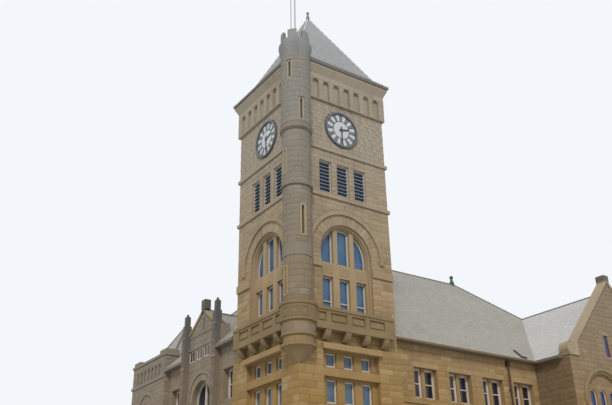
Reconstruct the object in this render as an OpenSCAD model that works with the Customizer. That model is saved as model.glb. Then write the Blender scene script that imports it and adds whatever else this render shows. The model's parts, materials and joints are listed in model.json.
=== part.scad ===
// Town hall of rock-faced sandstone, with a square clock tower and a stair turret on its corner.
// Millimetres, Z up. Plan places are measured from the tower's outer corner, x to the right along
// the front and y to the back; centred() then puts the middle of the plan at the origin.

/* [Tower] */
// Width of the square tower on each side
tower_w = 6500; // [6200:50:6800]
// Thickness of the tower's walls
tower_wall = 600; // [500:10:700]
// Height of the balcony's floor
balcony_z = 12600; // [12500:10:12700]
// Height of the belfry's sill string course
belfry_z = 20500; // [20400:10:20600]
// Height of the string course under the clock
clock_z = 23550; // [23450:10:23650]
// Height of the string course under the blind arcade
arcade_z = 26940; // [26840:10:27040]
// Height of the tower's eaves
tower_eave_z = 29480; // [29400:10:29560]
// Height of the tower roof's point
tower_apex_z = 36050; // [35500:50:36500]
// Outer radius of each clock dial
dial_r = 1200; // [1100:10:1250]

/* [Stair turret] */
// Outer radius of the round stair turret
turret_r = 780; // [740:10:800]
// Height of the turret's battlements
turret_top_z = 30950; // [30800:10:31100]

/* [Main building] */
// Thickness of the wings' walls
wall_t = 550; // [450:10:600]
// Height of the wings' eaves
eave_z = 13600; // [13500:10:13700]
// Height of the main ridge
ridge_z = 22000; // [21700:10:22300]
// How far the front wall stands back from the tower's face
front_y = 2000; // [1900:10:2100]
// Distance from the tower's face to the back wall
back_y = 18800; // [18600:10:19000]
// Distance from the tower's face to the right wall
right_x = 31100; // [31000:10:31200]

/* [Gable wing] */
// Left side of the gable wing
gable_x = 20300; // [20200:10:20400]
// How far the gable front stands out past the tower's face
gable_out = 900; // [850:10:950]
// Height of the gable wing's ridge
gable_ridge_z = 18750; // [18650:10:18800]

/* [Entrance bay and pavilion] */
// Middle of the entrance bay along the left side
entrance_mid = 10900; // [10850:10:10950]
// Near side of the corner pavilion along the left side
pavilion_y = 15900; // [15850:10:15950]
// Width of the corner pavilion
pavilion_w = 5500; // [5400:10:5600]

/* [Hidden] */
$fn = 48;

// Colours
wall_stone = [0.60, 0.53, 0.42];
pale_stone = [0.68, 0.61, 0.49];
dark_stone = [0.36, 0.35, 0.32];
slate_grey = [0.60, 0.60, 0.57];
frame_white = [0.80, 0.77, 0.70];
glass_blue = [0.25, 0.40, 0.52, 0.6];
timber = [0.45, 0.38, 0.30];
dark_metal = [0.12, 0.13, 0.15];

cut = 50;                       // how far a cutting solid runs past the face it opens
sky = 40000;                    // above everything
half_w = tower_w / 2;

// Storeys: tops of the floors, and the sill and head of each row of windows
floor_t = 250;
floor_levels = [600, 4500, 8400];
storeys = [[1700, 3900], [5600, 7800], [10300, 12100]];
tower_floor_levels = [600, 4500, 8400, balcony_z, belfry_z - 200, clock_z - 100];

// Tower base and its windows, in groups of three lights
plinth_z = 950;
plinth_out = 90;
base_out = 120;
base_recess = 150;
base_group_w = 3640;
base_rows = [[1800, 4200], [5500, 7900], [8850, 10270], [10700, 11640]];
light_w = 660;
light_pitch = 1150;
light_inset = 100;
lintel_h = 300;
lintel_out = 210;

// Great arched window, on the two outer faces
arch_spring_z = 17230;
arch_r = 1760;
arch_sill_z = 13950;
arch_order = 120;               // the arch steps in once, halfway to the tracery
arch_depth = 220;
tracery_t = 260;
tracery_rows = [[14050, 15830], [16640, 19200]];
tracery_light_w = [720, 860];    // lower and upper lights
tracery_margin = 190;
hood_r = 2600;
hood_w = 220;
hood_stones = 9;
impost_z = [16200, 16660];
string_out = 120;
string_h = 200;

// Belfry openings, blind arcade and roof
belfry_sill = 20850;
belfry_head = 22900;
belfry_w = 860;
belfry_pitch = 1250;
louvre_depth = 250;
louvre_t = 80;
niche_count = 7;
niche_r = 230;
niche_h = 1380;
niche_depth = 150;
arcade_out = 150;
cornice_h = 620;
cornice_out = 210;
arcade_pitch = 770;
arcade_shift = 430;             // the row clears the turret, so its middle lies off the face's middle
tower_eave_out = 440;
eave_drop = 130;
kink_in = 305;                  // where the roof steepens, in from the wall's face
kink_z = 30220;
tower_roof_t = 600;

// Clock
dial_z = 25310;
dial_rim = 125;
dial_out = 130;
dial_face_out = 40;
spindle_r = 45;
hand_bore = 52;
hand_boss = 100;
hand_t = 15;
minute_out = 100;               // from the wall's face to the back of each hand
hour_out = 70;
minute_turn = 180;              // the hands stand at half past two
hour_turn = 75;

// Stair turret, from its corbel up
drum_r = 860;
shaft_r = 430;
corbel_foot_z = 10750;
corbel_z = 11500;
drum_z = 12040;
ring_out = 50;
ring_h = 110;
shaft_z = corbel_z + ring_h;
turret_rings = [corbel_z, drum_z, belfry_z - 60];
roll_z = clock_z + 520;
roll_r = 940;
roll_h = 130;
turret_band = [16300, 17000];
slit_w = 140;
slit_frame = 110;
slit_frame_depth = 170;
slit_proud = 35;
// Each slit window: its bearing from the front towards the left, its sill and its head
slits = [[10, 17390, 19270], [10, 24560, 26100], [87, 21200, 22850], [87, 14110, 15810], [59, 27440, 28730]];
crown_z = 29250;
crown_r = 1010;
crown_top_r = 880;
crown_swell = 700;
crown_wall = 220;
crown_floor_z = 30100;
merlon_h = 560;
crenel_w = 340;
pole_places = [[-190, 130, 28, 5700], [10, -10, 40, 6400]];

// Balcony round the corner
balcony_out = 550;
balcony_end = 5950;
balcony_slab = 180;
parapet_top_z = 13780;
parapet_t = 220;
cap_h = 170;
cap_out = 50;
panel_z = [12960, 13480];
panels = [[860, 1380], [1680, 2740], [3050, 3950], [4260, 5300]];
panel_depth = 90;
bracket_w = 340;
bracket_r = 520;
bracket_pitch = 1300;
bracket_x = 1530;

// Roofs of the wings
overhang = 450;
roof_t = 250;                   // thickness, measured upright
fascia = 150;
wall_top_z = eave_z + 110;
left_x = 100;                   // outer face of the left wall
gutter = 100;
eave_front = front_y - overhang;
eave_back = back_y + overhang;
eave_left = left_x - overhang;
eave_right = right_x + overhang;
ridge_y = (eave_front + eave_back) / 2;
roof_run = ridge_y - eave_front;
ridge_x1 = 22100;
gable_mid = (gable_x + right_x) / 2;
gable_half = gable_mid - gable_x + overhang;
gable_back = gable_mid - 17900; // where the wing's ridge has run into the main roof
ridge_cap = 190;

// Gable front: three lights under each of two arches, and three slits above
coping_t = 260;
coping_out = 120;
coping_foot_x = 870;
coping_foot_z = 14770;
coping_slope = 1.09;
kneeler_h = 880;
kneeler_out = 260;
kneeler_r = 420;
apex_block_w = 540;
apex_block_z = 19950;
gable_light_r = 325;
gable_light_pitch = 1000;
gable_lights_z = [9400, 11600];
gable_arch_mid = 2350;
gable_arch_z = 10750;
gable_arch_r = 1900;
gable_arch_depth = 200;
gable_hood_r = 2280;
gable_slit = [460, 13880, 15380];
gable_slit_pitch = 1250;

// Wings' windows: pairs of lights, with a stone mullion between them
front_windows = [for (i = [0:3]) 10350 + 2850 * i];
left_windows = [7450, 14650];
right_windows = [for (i = [0:5]) 1500 + 2900 * i];
back_windows = [for (i = [0:7]) 7600 + 2900 * i];
sill_string_z = 9950;
pair_w = 1850;
left_pair_w = 1500;
mullion_w = 250;
mullion_depth = 240;
window_depth = 340;
frame_w = 75;
frame_t = 90;
glass_t = 20;
glass_gap = 3;
slit_glass = 60;                // how far the glass of slits and small lights stands in
joint = 6;                      // between blocks, piers and bands that meet

// Entrance bay, with a buttress on each side that ends in a pinnacle
bay_x = 0;
bay_half = 2310;
bay_shoulder_z = 15060;
bay_apex_z = 16380;
bay_arch_r = 1200;
bay_spring_z = 10750;
bay_sill_z = 9000;
bay_hood_r = 1850;
bay_slit = [180, 15150, 15950];
bay_light = [740, 13350, 14100];
bay_light_pitch = 1000;
buttress_w = 420;
buttress_out = 360;
pinnacle_z = [15850, 16480, 16680];
pinnacle_w = 300;
bay_block = [500, 430];
bay_block_z = [16500, 17130];
bay_coping_t = 180;
bay_coping_out = 110;
door_r = 950;
door_spring_z = 2500;
door_t = 90;
step_run = 300;
step_rise = 150;
steps_w = 3000;
entrance_ridge_z = 16400;
entrance_eave_half = 2350;
entrance_roof_x = 2800;

// Pavilion
pavilion_x = -300;
pavilion_x1 = pavilion_x + pavilion_w;
pavilion_y1 = pavilion_y + pavilion_w;
pavilion_top_z = 14650;
pavilion_coping_h = 180;
pavilion_block = [1000, 450];
cheek_t = 300;
pavilion_niche_z = 13320;
pavilion_niche_h = 720;
pavilion_niche_r = 165;
pavilion_niche_pitch = 620;
pavilion_string_z = 13130;
pavilion_row = [9600, 11600];
pavilion_hood_r = 1650;
pavilion_hood_z = 10950;
pavilion_apex_z = 17800;
pavilion_eave_z = 14250;

// Middle of the plan box, from what reaches furthest on each side
mid_x = (bay_x - 4 * step_run + eave_right + gutter) / 2;
mid_y = (pavilion_y1 + plinth_out - gable_out - coping_out) / 2;

// Puts the middle of the plan at the origin
module centred() translate([-mid_x, -mid_y, 0]) children();

// A solid between two corners
module block(a, b) translate(a) cube([b[0] - a[0], b[1] - a[1], b[2] - a[2]]);

// An outline in x and z, run along y
module along_y(y0, y1) translate([0, y1, 0]) rotate([90, 0, 0]) linear_extrude(y1 - y0) children();

// An outline in y and z, run along x
module along_x(x0, x1) translate([x0, 0, 0]) rotate([90, 0, 90]) linear_extrude(x1 - x0) children();

// A rectangle of width w about x = 0, from height z[0] to z[1]
module upright(w, z) translate([-w / 2, z[0]]) square([w, z[1] - z[0]]);

// A round-headed outline about x = 0, from sill to springing line
module arched(r, sill, spring) {
    upright(2 * r, [sill, spring]);
    intersection() {
        translate([0, spring]) circle(r);
        translate([-r, sill]) square([2 * r, spring - sill + r]);
    }
}

// A round hood about x = 0, with short legs below its springing line
module hood(r_in, r_out, spring, leg) {
    wedge = 180 / hood_stones;
    difference() {
        arched(r_out, spring - leg, spring);
        arched(r_in, spring - leg - cut, spring);
        for (a = [1:hood_stones - 1])
            translate([0, spring]) rotate(a * wedge) translate([0, -joint / 2]) square([r_out + cut, joint]);
    }
}

// Turns what is made for the tower's front face to face k: 0 front, 1 left, 2 back, 3 right
module on_face(k)
    translate([half_w, half_w, 0]) rotate([0, 0, -90 * k]) translate([-half_w, -half_w, 0]) children();

// Repeats what is made along the front face, from the corner turret, along the left face too
module both_sides() {
    children();
    mirror([1, -1, 0]) children();
}

// Level joints below and above each row of windows, through whatever wall they are cut from
module bed_joints(rows, x0, x1, y0, y1)
    for (r = rows, z = [r[0] - joint, r[1]]) block([x0, y0, z], [x1, y1, z + joint]);

// Upright joints that part the tower's side walls from its front and back walls
module side_joints(inset, out, z0, z1)
    for (y = [inset, tower_w - inset - joint])
        block([-out - cut, y, z0 - cut], [tower_w + out + cut, y + joint, z1 + cut]);

// An upright joint along a line in plan, from a to b
module plan_joint(a, b)
    translate([a[0], a[1], 0]) rotate([0, 0, atan2(b[1] - a[1], b[0] - a[0])])
        block([0, -joint / 2, 0], [norm(b - a), joint / 2, sky]);

// What the turret fills, with its corbel, rings and bands
module turret_outside() {
    translate([0, 0, corbel_foot_z]) cylinder(r1 = turret_r / 4, r2 = turret_r, h = corbel_z - corbel_foot_z);
    translate([0, 0, corbel_z]) cylinder(r = turret_r + 30, h = drum_z - corbel_z);
    translate([0, 0, drum_z]) cylinder(r = drum_r, h = parapet_top_z - drum_z);
    translate([0, 0, parapet_top_z]) cylinder(r = turret_r, h = roll_z - parapet_top_z);
    translate([0, 0, roll_z]) cylinder(r = drum_r, h = crown_z - roll_z);
    translate([0, 0, roll_z - roll_h]) cylinder(r1 = turret_r, r2 = roll_r, h = roll_h);
    translate([0, 0, roll_z]) cylinder(r = roll_r, h = roll_h);
    translate([0, 0, roll_z + roll_h]) cylinder(r1 = roll_r, r2 = drum_r, h = roll_h);
    for (z = turret_rings) translate([0, 0, z]) cylinder(r = drum_r + ring_out, h = ring_h);
    translate([0, 0, turret_band[0]]) cylinder(r = turret_r + ring_out, h = turret_band[1] - turret_band[0]);
}

// One slit window's stone surround; grow carries it further out, to cut its pocket in the wall
module slit_surround(s, grow) {
    rotate([0, 0, -s[0]])
        block([-slit_w / 2 - slit_frame, -turret_r - slit_proud - grow, s[1]],
              [slit_w / 2 + slit_frame, -turret_r - slit_proud + slit_frame_depth, s[2]]);
}

module slit_hole(s) {
    rotate([0, 0, -s[0]])
        block([-slit_w / 2, -drum_r - 2 * cut, s[1] + slit_frame], [slit_w / 2, 0, s[2] - slit_frame]);
}

// A square storey of the tower between two heights, cut back for the turret
module tower_storey(z0, z1, out) {
    difference() {
        block([-out, -out, z0], [tower_w + out, tower_w + out, z1]);
        block([tower_wall, tower_wall, z0 - cut], [tower_w - tower_wall, tower_w - tower_wall, z1 + cut]);
        turret_outside();
    }
}

// The thicker face of the tower's lowest stage, on its two free sides only
module tower_base_skin(z0, z1, out) {
    block([-out, -out, z0], [tower_w + out, front_y, z1]);
    block([-out, -out, z0], [left_x, tower_w + out, z1]);
}

module tower_base_walls() color(wall_stone) {
    out = base_out + plinth_out;
    difference() {
        union() {
            block([0, 0, 0], [tower_w, tower_w, balcony_z]);
            tower_base_skin(0, plinth_z, out);
            tower_base_skin(plinth_z, drum_z, base_out);
        }
        block([tower_wall, tower_wall, -cut], [tower_w - tower_wall, tower_w - tower_wall, balcony_z + cut]);
        turret_outside();
        side_joints(tower_wall, out, 0, balcony_z);
        block([tower_w - tower_wall - cut, front_y - joint, -cut],
              [tower_w + out + cut, front_y, balcony_z + cut]);
        block([-out - cut, tower_w, -cut], [left_x + cut, tower_w + joint, drum_z]);
        for (z = [plinth_z, drum_z - joint])
            block([-sky, -sky, z], [sky, sky, z + joint]);
        for (k = [0:1]) on_face(k) {
            reach = k == 0 ? out + cut : -tower_wall;
            bed_joints(base_rows, -reach, tower_w + reach, -out - cut, tower_wall);
        }
        for (k = [0:1], z = base_rows) on_face(k) translate([half_w, 0, 0]) base_windows(z);
    }
}

// One row of three lights in the tower's base, about x = 0, with the joints round its posts
module base_windows(z) {
    half = base_group_w / 2;
    along_y(-base_out - cut, base_recess) upright(base_group_w, z);
    for (i = [-1:1]) translate([i * light_pitch, 0, 0])
        along_y(0, tower_wall + cut) upright(light_w, [z[0] + light_inset, z[1] - light_inset]);
    for (h = [z[0] + light_inset - joint, z[1] - light_inset])
        block([-half, base_recess - cut, h], [half, tower_wall + cut, h + joint]);
    for (x = [-half, half - joint])
        block([x, base_recess - cut, z[0]], [x + joint, tower_wall + cut, z[1]]);
}

module tower_arch_walls() color(wall_stone) {
    difference() {
        tower_storey(balcony_z, belfry_z, 0);
        for (k = [0:1]) on_face(k) translate([half_w, 0, 0])
            along_y(-cut, tower_wall + cut) arched(arch_r, arch_sill_z, arch_spring_z);
    }
}

module belfry_places()
    for (k = [0:3], i = [-1:1]) on_face(k) translate([half_w + i * belfry_pitch, 0, 0]) children();

module tower_belfry_walls() color(wall_stone) {
    difference() {
        tower_storey(belfry_z, clock_z, 0);
        belfry_places() along_y(-cut, tower_wall + cut) upright(belfry_w, [belfry_sill, belfry_head]);
    }
}

module tower_clock_walls() color(wall_stone) tower_storey(clock_z, arcade_z, 0);

module tower_cornice() {
    reach = arcade_out + cornice_out + cut;
    difference() {
        intersection() {
            along_y(-reach, tower_w + reach) cornice_profile();
            along_x(-reach, tower_w + reach) cornice_profile();
        }
        block([0, 0, 0], [tower_w, tower_w, sky]);
        turret_outside();
    }
}

// Middle of the row of niches on face k
function niche_mid(k) = half_w + (k == 0 ? arcade_shift : k == 1 ? -arcade_shift : 0);

module tower_arcade_walls() color(wall_stone) {
    difference() {
        union() {
            tower_storey(arcade_z, tower_eave_z - eave_drop, arcade_out);
            tower_cornice();
        }
        crown_outside();
        side_joints(tower_wall, arcade_out + cornice_out, arcade_z, tower_eave_z);
        for (k = [0:3], i = [0:niche_count - 1]) on_face(k)
            translate([niche_mid(k) + (i - 3) * arcade_pitch, 0, arcade_z + light_inset / 2])
                along_y(-arcade_out - cut, niche_depth - arcade_out) arched(niche_r, 0, niche_h - niche_r);
    }
}

// Profile of the sloping cornice under the tower's eaves
module cornice_profile() {
    a = arcade_out;
    b = arcade_out + cornice_out;
    top = tower_eave_z - eave_drop;
    polygon([[-a, top - cornice_h], [-b, top - cornice_h / 4], [-b, top], [tower_w + b, top],
             [tower_w + b, top - cornice_h / 4], [tower_w + a, top - cornice_h]]);
}

// One course of stone round the tower, cut back for the turret
module tower_course(z, h) {
    difference() {
        block([-string_out, -string_out, z], [tower_w + string_out, tower_w + string_out, z + h]);
        block([0, 0, z - cut], [tower_w, tower_w, z + h + cut]);
        side_joints(0, string_out, z, z + h);
        turret_outside();
    }
}

module tower_string_courses() color(pale_stone) {
    tower_course(belfry_z, string_h);
    tower_course(clock_z, string_h);
    for (k = [0:1]) on_face(k) translate([half_w, 0, 0]) along_y(-base_out - lintel_out, -base_out)
        upright(base_group_w + 2 * light_inset, [base_rows[3][1], base_rows[3][1] + lintel_h]);
    both_sides() difference() {
        union() {
            translate([half_w, 0, 0]) along_y(-string_out, 0)
                hood(hood_r - hood_w, hood_r, arch_spring_z, string_h);
            for (x = [[turret_r, half_w - arch_r], [half_w + arch_r, tower_w]])
                block([x[0], -string_out, impost_z[0]], [x[1], 0, impost_z[1]]);
        }
        turret_outside();
    }
}

module tower_floors() color(timber) {
    difference() {
        for (z = tower_floor_levels)
            block([tower_wall, tower_wall, z - floor_t], [tower_w - tower_wall, tower_w - tower_wall, z]);
        turret_outside();
    }
}

// The stones round a great window's edge: a sill, two jambs and six arch stones
module arch_border(w, sill) difference() {
    arched(arch_r, arch_sill_z, arch_spring_z);
    arched(arch_r - w, sill, arch_spring_z);
    for (z = [sill, arch_spring_z]) translate([-arch_r - cut, z]) square([2 * (arch_r + cut), joint]);
    for (t = [30:30:150]) translate([0, arch_spring_z]) rotate(t) translate([0, -joint / 2]) square([arch_r + cut, joint]);
}

// Stone between the lights of the two great windows, and round the turret's slits
module tower_window_stonework() color(pale_stone) {
    for (k = [0:1]) on_face(k) translate([half_w, 0, 0]) {
        along_y(arch_depth / 2, arch_depth) arch_border(arch_order, tracery_rows[0][0]);
        along_y(arch_depth, arch_depth + tracery_t) {
            arch_border(tracery_margin, tracery_rows[0][0]);
            difference() {
                arched(arch_r - tracery_margin - joint, tracery_rows[0][0] + joint, arch_spring_z);
                for (i = [-1:1], k = [0:1])
                    translate([i * light_pitch, 0]) upright(tracery_light_w[k], tracery_rows[k]);
                for (z = [tracery_rows[0][1], tracery_rows[1][0] - joint])
                    translate([-arch_r, z]) square([2 * arch_r, joint]);
            }
        }
    }
    for (s = slits) difference() {
        slit_surround(s, 0);
        slit_hole(s);
        bed_joints([[s[1] + slit_frame, s[2] - slit_frame]], -sky, sky, -sky, sky);
    }
}

module tower_window_glass() color(glass_blue) {
    gap = light_inset + glass_gap;
    for (k = [0:1]) on_face(k) translate([half_w, 0, 0]) {
        along_y(arch_depth + tracery_t, arch_depth + tracery_t + glass_t)
            arched(arch_r - glass_gap, arch_sill_z + glass_gap, arch_spring_z);
        for (z = base_rows, i = [-1:1]) translate([i * light_pitch, 0, 0])
            along_y(window_depth, window_depth + glass_t)
                upright(light_w - 2 * glass_gap, [z[0] + gap, z[1] - gap]);
    }
}

module belfry_louvres() color([0.16, 0.27, 0.36]) {
    belfry_places() along_y(louvre_depth, louvre_depth + louvre_t)
        upright(belfry_w - 2 * glass_gap, [belfry_sill + glass_gap, belfry_head - glass_gap]);
}

// Puts a dial's parts, made about the origin with their front towards -y, on face k
module at_dial(k) on_face(k) translate([half_w, 0, dial_z]) children();

module clock_dials() color([0.85, 0.85, 0.85]) {
    for (k = [0:3]) at_dial(k) {
        along_y(-dial_out, 0) difference() {
            circle(dial_r);
            circle(dial_r - dial_rim);
            for (i = [0:3]) rotate(45 * i) translate([-dial_r, -joint / 2]) square([2 * dial_r, joint]);
        }
        along_y(-dial_face_out, 0) circle(dial_r - dial_rim - joint);
        along_y(-minute_out - hand_t - 10, -dial_face_out - joint) circle(spindle_r);
    }
}

// A clock hand pointing up from its bore, its back at the given distance out from the wall
module hand(length, tail, w, out, bore) {
    shoulder = length * 0.85;
    along_y(-out - hand_t, -out) difference() {
        union() {
            polygon([[-w / 2, -tail], [w / 2, -tail], [w / 2, shoulder], [0, length], [-w / 2, shoulder]]);
            circle(hand_boss);
        }
        circle(bore);
    }
}

module minute_hand(k, bore) at_dial(k) rotate([0, minute_turn, 0]) hand(900, 230, 80, minute_out, bore);
module hour_hand(k, bore) at_dial(k) rotate([0, hour_turn, 0]) hand(620, 160, 110, hour_out, bore);

module minute_hand_front() color(dark_metal) minute_hand(0, hand_bore);
module hour_hand_front() color(dark_metal) hour_hand(0, hand_bore);
module minute_hand_left() color(dark_metal) minute_hand(1, hand_bore);
module hour_hand_left() color(dark_metal) hour_hand(1, hand_bore);

module rear_clock_hands() color(dark_metal) {
    for (k = [2:3]) {
        minute_hand(k, spindle_r);
        hour_hand(k, spindle_r);
    }
}

// Half of the tower roof's profile and its mirror: wide low eaves, then steep to the point
module tower_roof_profile() {
    e = tower_eave_out;
    k = kink_in;
    polygon([[-e, tower_eave_z - eave_drop], [-e, tower_eave_z], [k, kink_z], [half_w, tower_apex_z],
             [tower_w - k, kink_z], [tower_w + e, tower_eave_z], [tower_w + e, tower_eave_z - eave_drop]]);
}

module tower_attic_profile() {
    a = tower_wall;
    top = kink_z + (a - kink_in) * (tower_apex_z - kink_z) / (half_w - kink_in) - tower_roof_t;
    polygon([[a, tower_eave_z - 2 * eave_drop], [a, top], [half_w, tower_apex_z - tower_roof_t],
             [tower_w - a, top], [tower_w - a, tower_eave_z - 2 * eave_drop]]);
}

module tower_roof_body() {
    reach = tower_eave_out + cut;
    intersection() {
        along_y(-reach, tower_w + reach) tower_roof_profile();
        along_x(-reach, tower_w + reach) tower_roof_profile();
    }
}

module tower_roof() color(slate_grey) {
    difference() {
        tower_roof_body();
        intersection() {
            along_y(0, tower_w) tower_attic_profile();
            along_x(0, tower_w) tower_attic_profile();
        }
        crown_outside();
    }
}

module finial(r, h) {
    cylinder(r = r, h = h * 0.3);
    translate([0, 0, h * 0.3]) cylinder(r1 = r * 0.8, r2 = r * 0.4, h = h * 0.35);
    translate([0, 0, h * 0.75]) sphere(r * 0.8);
}

module roof_finials() color([0.20, 0.30, 0.26]) {
    difference() {
        translate([half_w, half_w, tower_apex_z - 120]) finial(120, 800);
        tower_roof_body();
    }
    difference() {
        translate([ridge_x1 - ridge_cap, ridge_y, ridge_z - 100]) finial(ridge_cap, 950);
        main_roof_body(0);
    }
}

module stair_turret() color(wall_stone) {
    difference() {
        turret_outside();
        translate([0, 0, shaft_z]) cylinder(r = shaft_r, h = crown_z);
        translate([0, 0, shaft_z]) cylinder(r = 2 * turret_r, h = joint);
        for (i = [0:7]) rotate([0, 0, 45 * i])
            block([0, -joint / 2, shaft_z], [2 * turret_r, joint / 2, crown_z + cut]);
        for (s = slits) {
            slit_surround(s, 2 * cut);
            slit_hole(s);
        }
    }
}

// Outer shape of the turret's crown
module crown_outside() {
    translate([0, 0, crown_z]) cylinder(r1 = drum_r, r2 = crown_r, h = crown_swell);
    translate([0, 0, crown_z + crown_swell]) cylinder(r = crown_r, h = crown_floor_z - crown_z - crown_swell);
    translate([0, 0, crown_floor_z]) cylinder(r = crown_top_r, h = turret_top_z - crown_floor_z);
}

module turret_crown() color(wall_stone) {
    difference() {
        crown_outside();
        translate([0, 0, crown_z - cut]) cylinder(r = shaft_r, h = crown_floor_z - crown_z - floor_t);
        translate([0, 0, crown_floor_z]) cylinder(r = crown_top_r - crown_wall, h = turret_top_z);
        for (i = [0:2]) rotate([0, 0, 60 * i + 15])
            block([-2 * crown_r, -crenel_w / 2, turret_top_z - merlon_h],
                  [2 * crown_r, crenel_w / 2, turret_top_z + cut]);
    }
}

module turret_poles() color([0.75, 0.75, 0.75]) {
    for (p = pole_places) translate([p[0], p[1], crown_floor_z]) {
        cylinder(r = p[2], h = p[3]);
        translate([0, 0, p[3]]) sphere(p[2] * 1.6);
    }
}

module balcony_floor() color(wall_stone) {
    difference() {
        both_sides() {
            block([0, -balcony_out, balcony_z], [balcony_end, 0, balcony_z + balcony_slab]);
            for (i = [0:3]) translate([bracket_x + i * bracket_pitch, 0, balcony_z])
                along_x(-bracket_w / 2, bracket_w / 2) intersection() {
                    translate([-bracket_r, -bracket_r]) square(bracket_r);
                    circle(bracket_r);
                }
        }
        turret_outside();
    }
}

module balcony_parapet() color(pale_stone) {
    z0 = balcony_z + balcony_slab;
    difference() {
        union() {
            both_sides() difference() {
                union() {
                    block([0, -balcony_out, z0], [balcony_end, -balcony_out + parapet_t, parapet_top_z]);
                    block([balcony_end - parapet_t, -balcony_out, z0], [balcony_end, 0, parapet_top_z]);
                    block([0, -balcony_out - cap_out, parapet_top_z - cap_h],
                          [balcony_end, -balcony_out, parapet_top_z]);
                }
                for (x = panels)
                    block([x[0], -balcony_out - cut, panel_z[0]],
                          [x[1], -balcony_out + panel_depth, panel_z[1]]);
            }
            translate([0, 0, z0]) cylinder(r = drum_r + 2 * cap_out, h = parapet_top_z - z0);
            translate([0, 0, parapet_top_z - cap_h]) cylinder(r = drum_r + 3 * cap_out, h = cap_h);
        }
        turret_outside();
        block([0, 0, 0], [tower_w, tower_w, sky]);
    }
}

// The hole for one pair of lights in a wall whose outer face is at y = 0
module pair_hole(w, z) {
    difference() {
        along_y(-cut, 2 * wall_t) upright(w, z);
        along_y(mullion_depth, window_depth) upright(mullion_w, z);
    }
}

module pair_frame(w, z) {
    light = (w - mullion_w) / 2;
    along_y(window_depth, window_depth + frame_t) difference() {
        upright(w, z);
        for (s = [-1, 1]) translate([s * (mullion_w + light) / 2, 0])
            upright(light - 2 * frame_w, [z[0] + frame_w, z[1] - frame_w]);
        for (s = [0, 1], x = [mullion_w / 2 + frame_w, w / 2 - frame_w - joint])
            mirror([s, 0]) translate([x, z[0] - cut]) square([joint, z[1] - z[0] + 2 * cut]);
    }
}

module pair_glass(w, z)
    along_y(window_depth + frame_t, window_depth + frame_t + glass_t)
        upright(w - 2 * glass_gap, [z[0] + glass_gap, z[1] - glass_gap]);

// Places of the pairs of windows: each wall's outer face becomes y = 0, its middle x = 0
module front_places() for (x = front_windows) translate([x, front_y, 0]) children();
module left_places() for (y = left_windows) translate([left_x, y, 0]) rotate([0, 0, -90]) children();
module right_places() for (y = right_windows) translate([right_x, y, 0]) rotate([0, 0, 90]) children();
module back_places() for (x = back_windows) translate([x, back_y, 0]) rotate([0, 0, 180]) children();
module gable_places() for (s = [-1, 1]) translate([gable_mid + s * gable_arch_mid, -gable_out, 0]) children();
module entrance_place() translate([bay_x, entrance_mid, 0]) rotate([0, 0, -90]) children();
module pavilion_places() {
    translate([pavilion_x, pavilion_y + pavilion_w / 2, 0]) rotate([0, 0, -90]) children();
    translate([pavilion_x + pavilion_w / 2, pavilion_y1, 0]) rotate([0, 0, 180]) children();
}

module front_wall() color(wall_stone) {
    difference() {
        block([tower_w, front_y, 0], [gable_x, front_y + wall_t, wall_top_z]);
        front_places() for (z = storeys) pair_hole(pair_w, z);
        bed_joints(storeys, tower_w - cut, gable_x + cut, front_y - cut, front_y + wall_t + cut);
    }
}

module left_wall() color(wall_stone) {
    difference() {
        for (y = [[tower_w, entrance_mid - bay_half], [entrance_mid + bay_half, pavilion_y]])
            block([left_x, y[0], 0], [left_x + wall_t, y[1], wall_top_z]);
        left_places() for (z = storeys) pair_hole(left_pair_w, z);
        bed_joints(storeys, left_x - cut, left_x + wall_t + cut, tower_w - cut, pavilion_y + cut);
    }
}

module right_wall() color(wall_stone) {
    difference() {
        block([right_x - wall_t, -gable_out + wall_t, 0], [right_x, back_y - wall_t, wall_top_z]);
        right_places() for (z = storeys) pair_hole(pair_w, z);
        bed_joints(storeys, right_x - wall_t - cut, right_x + cut, -gable_out, back_y);
    }
}

module back_wall() color(wall_stone) {
    difference() {
        block([pavilion_x1, back_y - wall_t, 0], [right_x, back_y, wall_top_z]);
        back_places() for (z = storeys) pair_hole(pair_w, z);
        bed_joints(storeys, pavilion_x1 - cut, right_x + cut, back_y - wall_t - cut, back_y + cut);
    }
}

// Height of the top of the gable's coping, at a distance in from the wing's side
function coping_z(d) = coping_foot_z + coping_slope * (d - coping_foot_x);
gable_w = right_x - gable_x;

module gable_front_wall() color(wall_stone) {
    f = coping_foot_x;
    difference() {
        along_y(-gable_out, -gable_out + wall_t)
            polygon([[gable_x, 0], [right_x, 0], [right_x, eave_z], [right_x - f, eave_z],
                     [right_x - f, coping_z(f) - coping_t], [gable_mid, coping_z(gable_w / 2) - coping_t],
                     [gable_x + f, coping_z(f) - coping_t], [gable_x + f, eave_z], [gable_x, eave_z]]);
        gable_places() {
            for (i = [0:1]) pair_hole(pair_w, storeys[i]);
            along_y(-cut, gable_arch_depth)
                arched(gable_arch_r, gable_lights_z[0] - light_inset, gable_arch_z);
            for (i = [-1:1]) translate([i * gable_light_pitch, 0, 0]) along_y(0, wall_t + cut)
                arched(gable_light_r, gable_lights_z[0], gable_lights_z[1] - gable_light_r);
        }
        for (i = [-1:1]) translate([gable_mid + i * gable_slit_pitch, -gable_out, 0])
            along_y(-cut, wall_t + cut) upright(gable_slit[0], [gable_slit[1], gable_slit[2]]);
    }
}

module gable_side_wall() color(wall_stone)
    block([gable_x, -gable_out + wall_t, 0], [gable_x + wall_t, front_y + wall_t, wall_top_z]);

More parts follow.
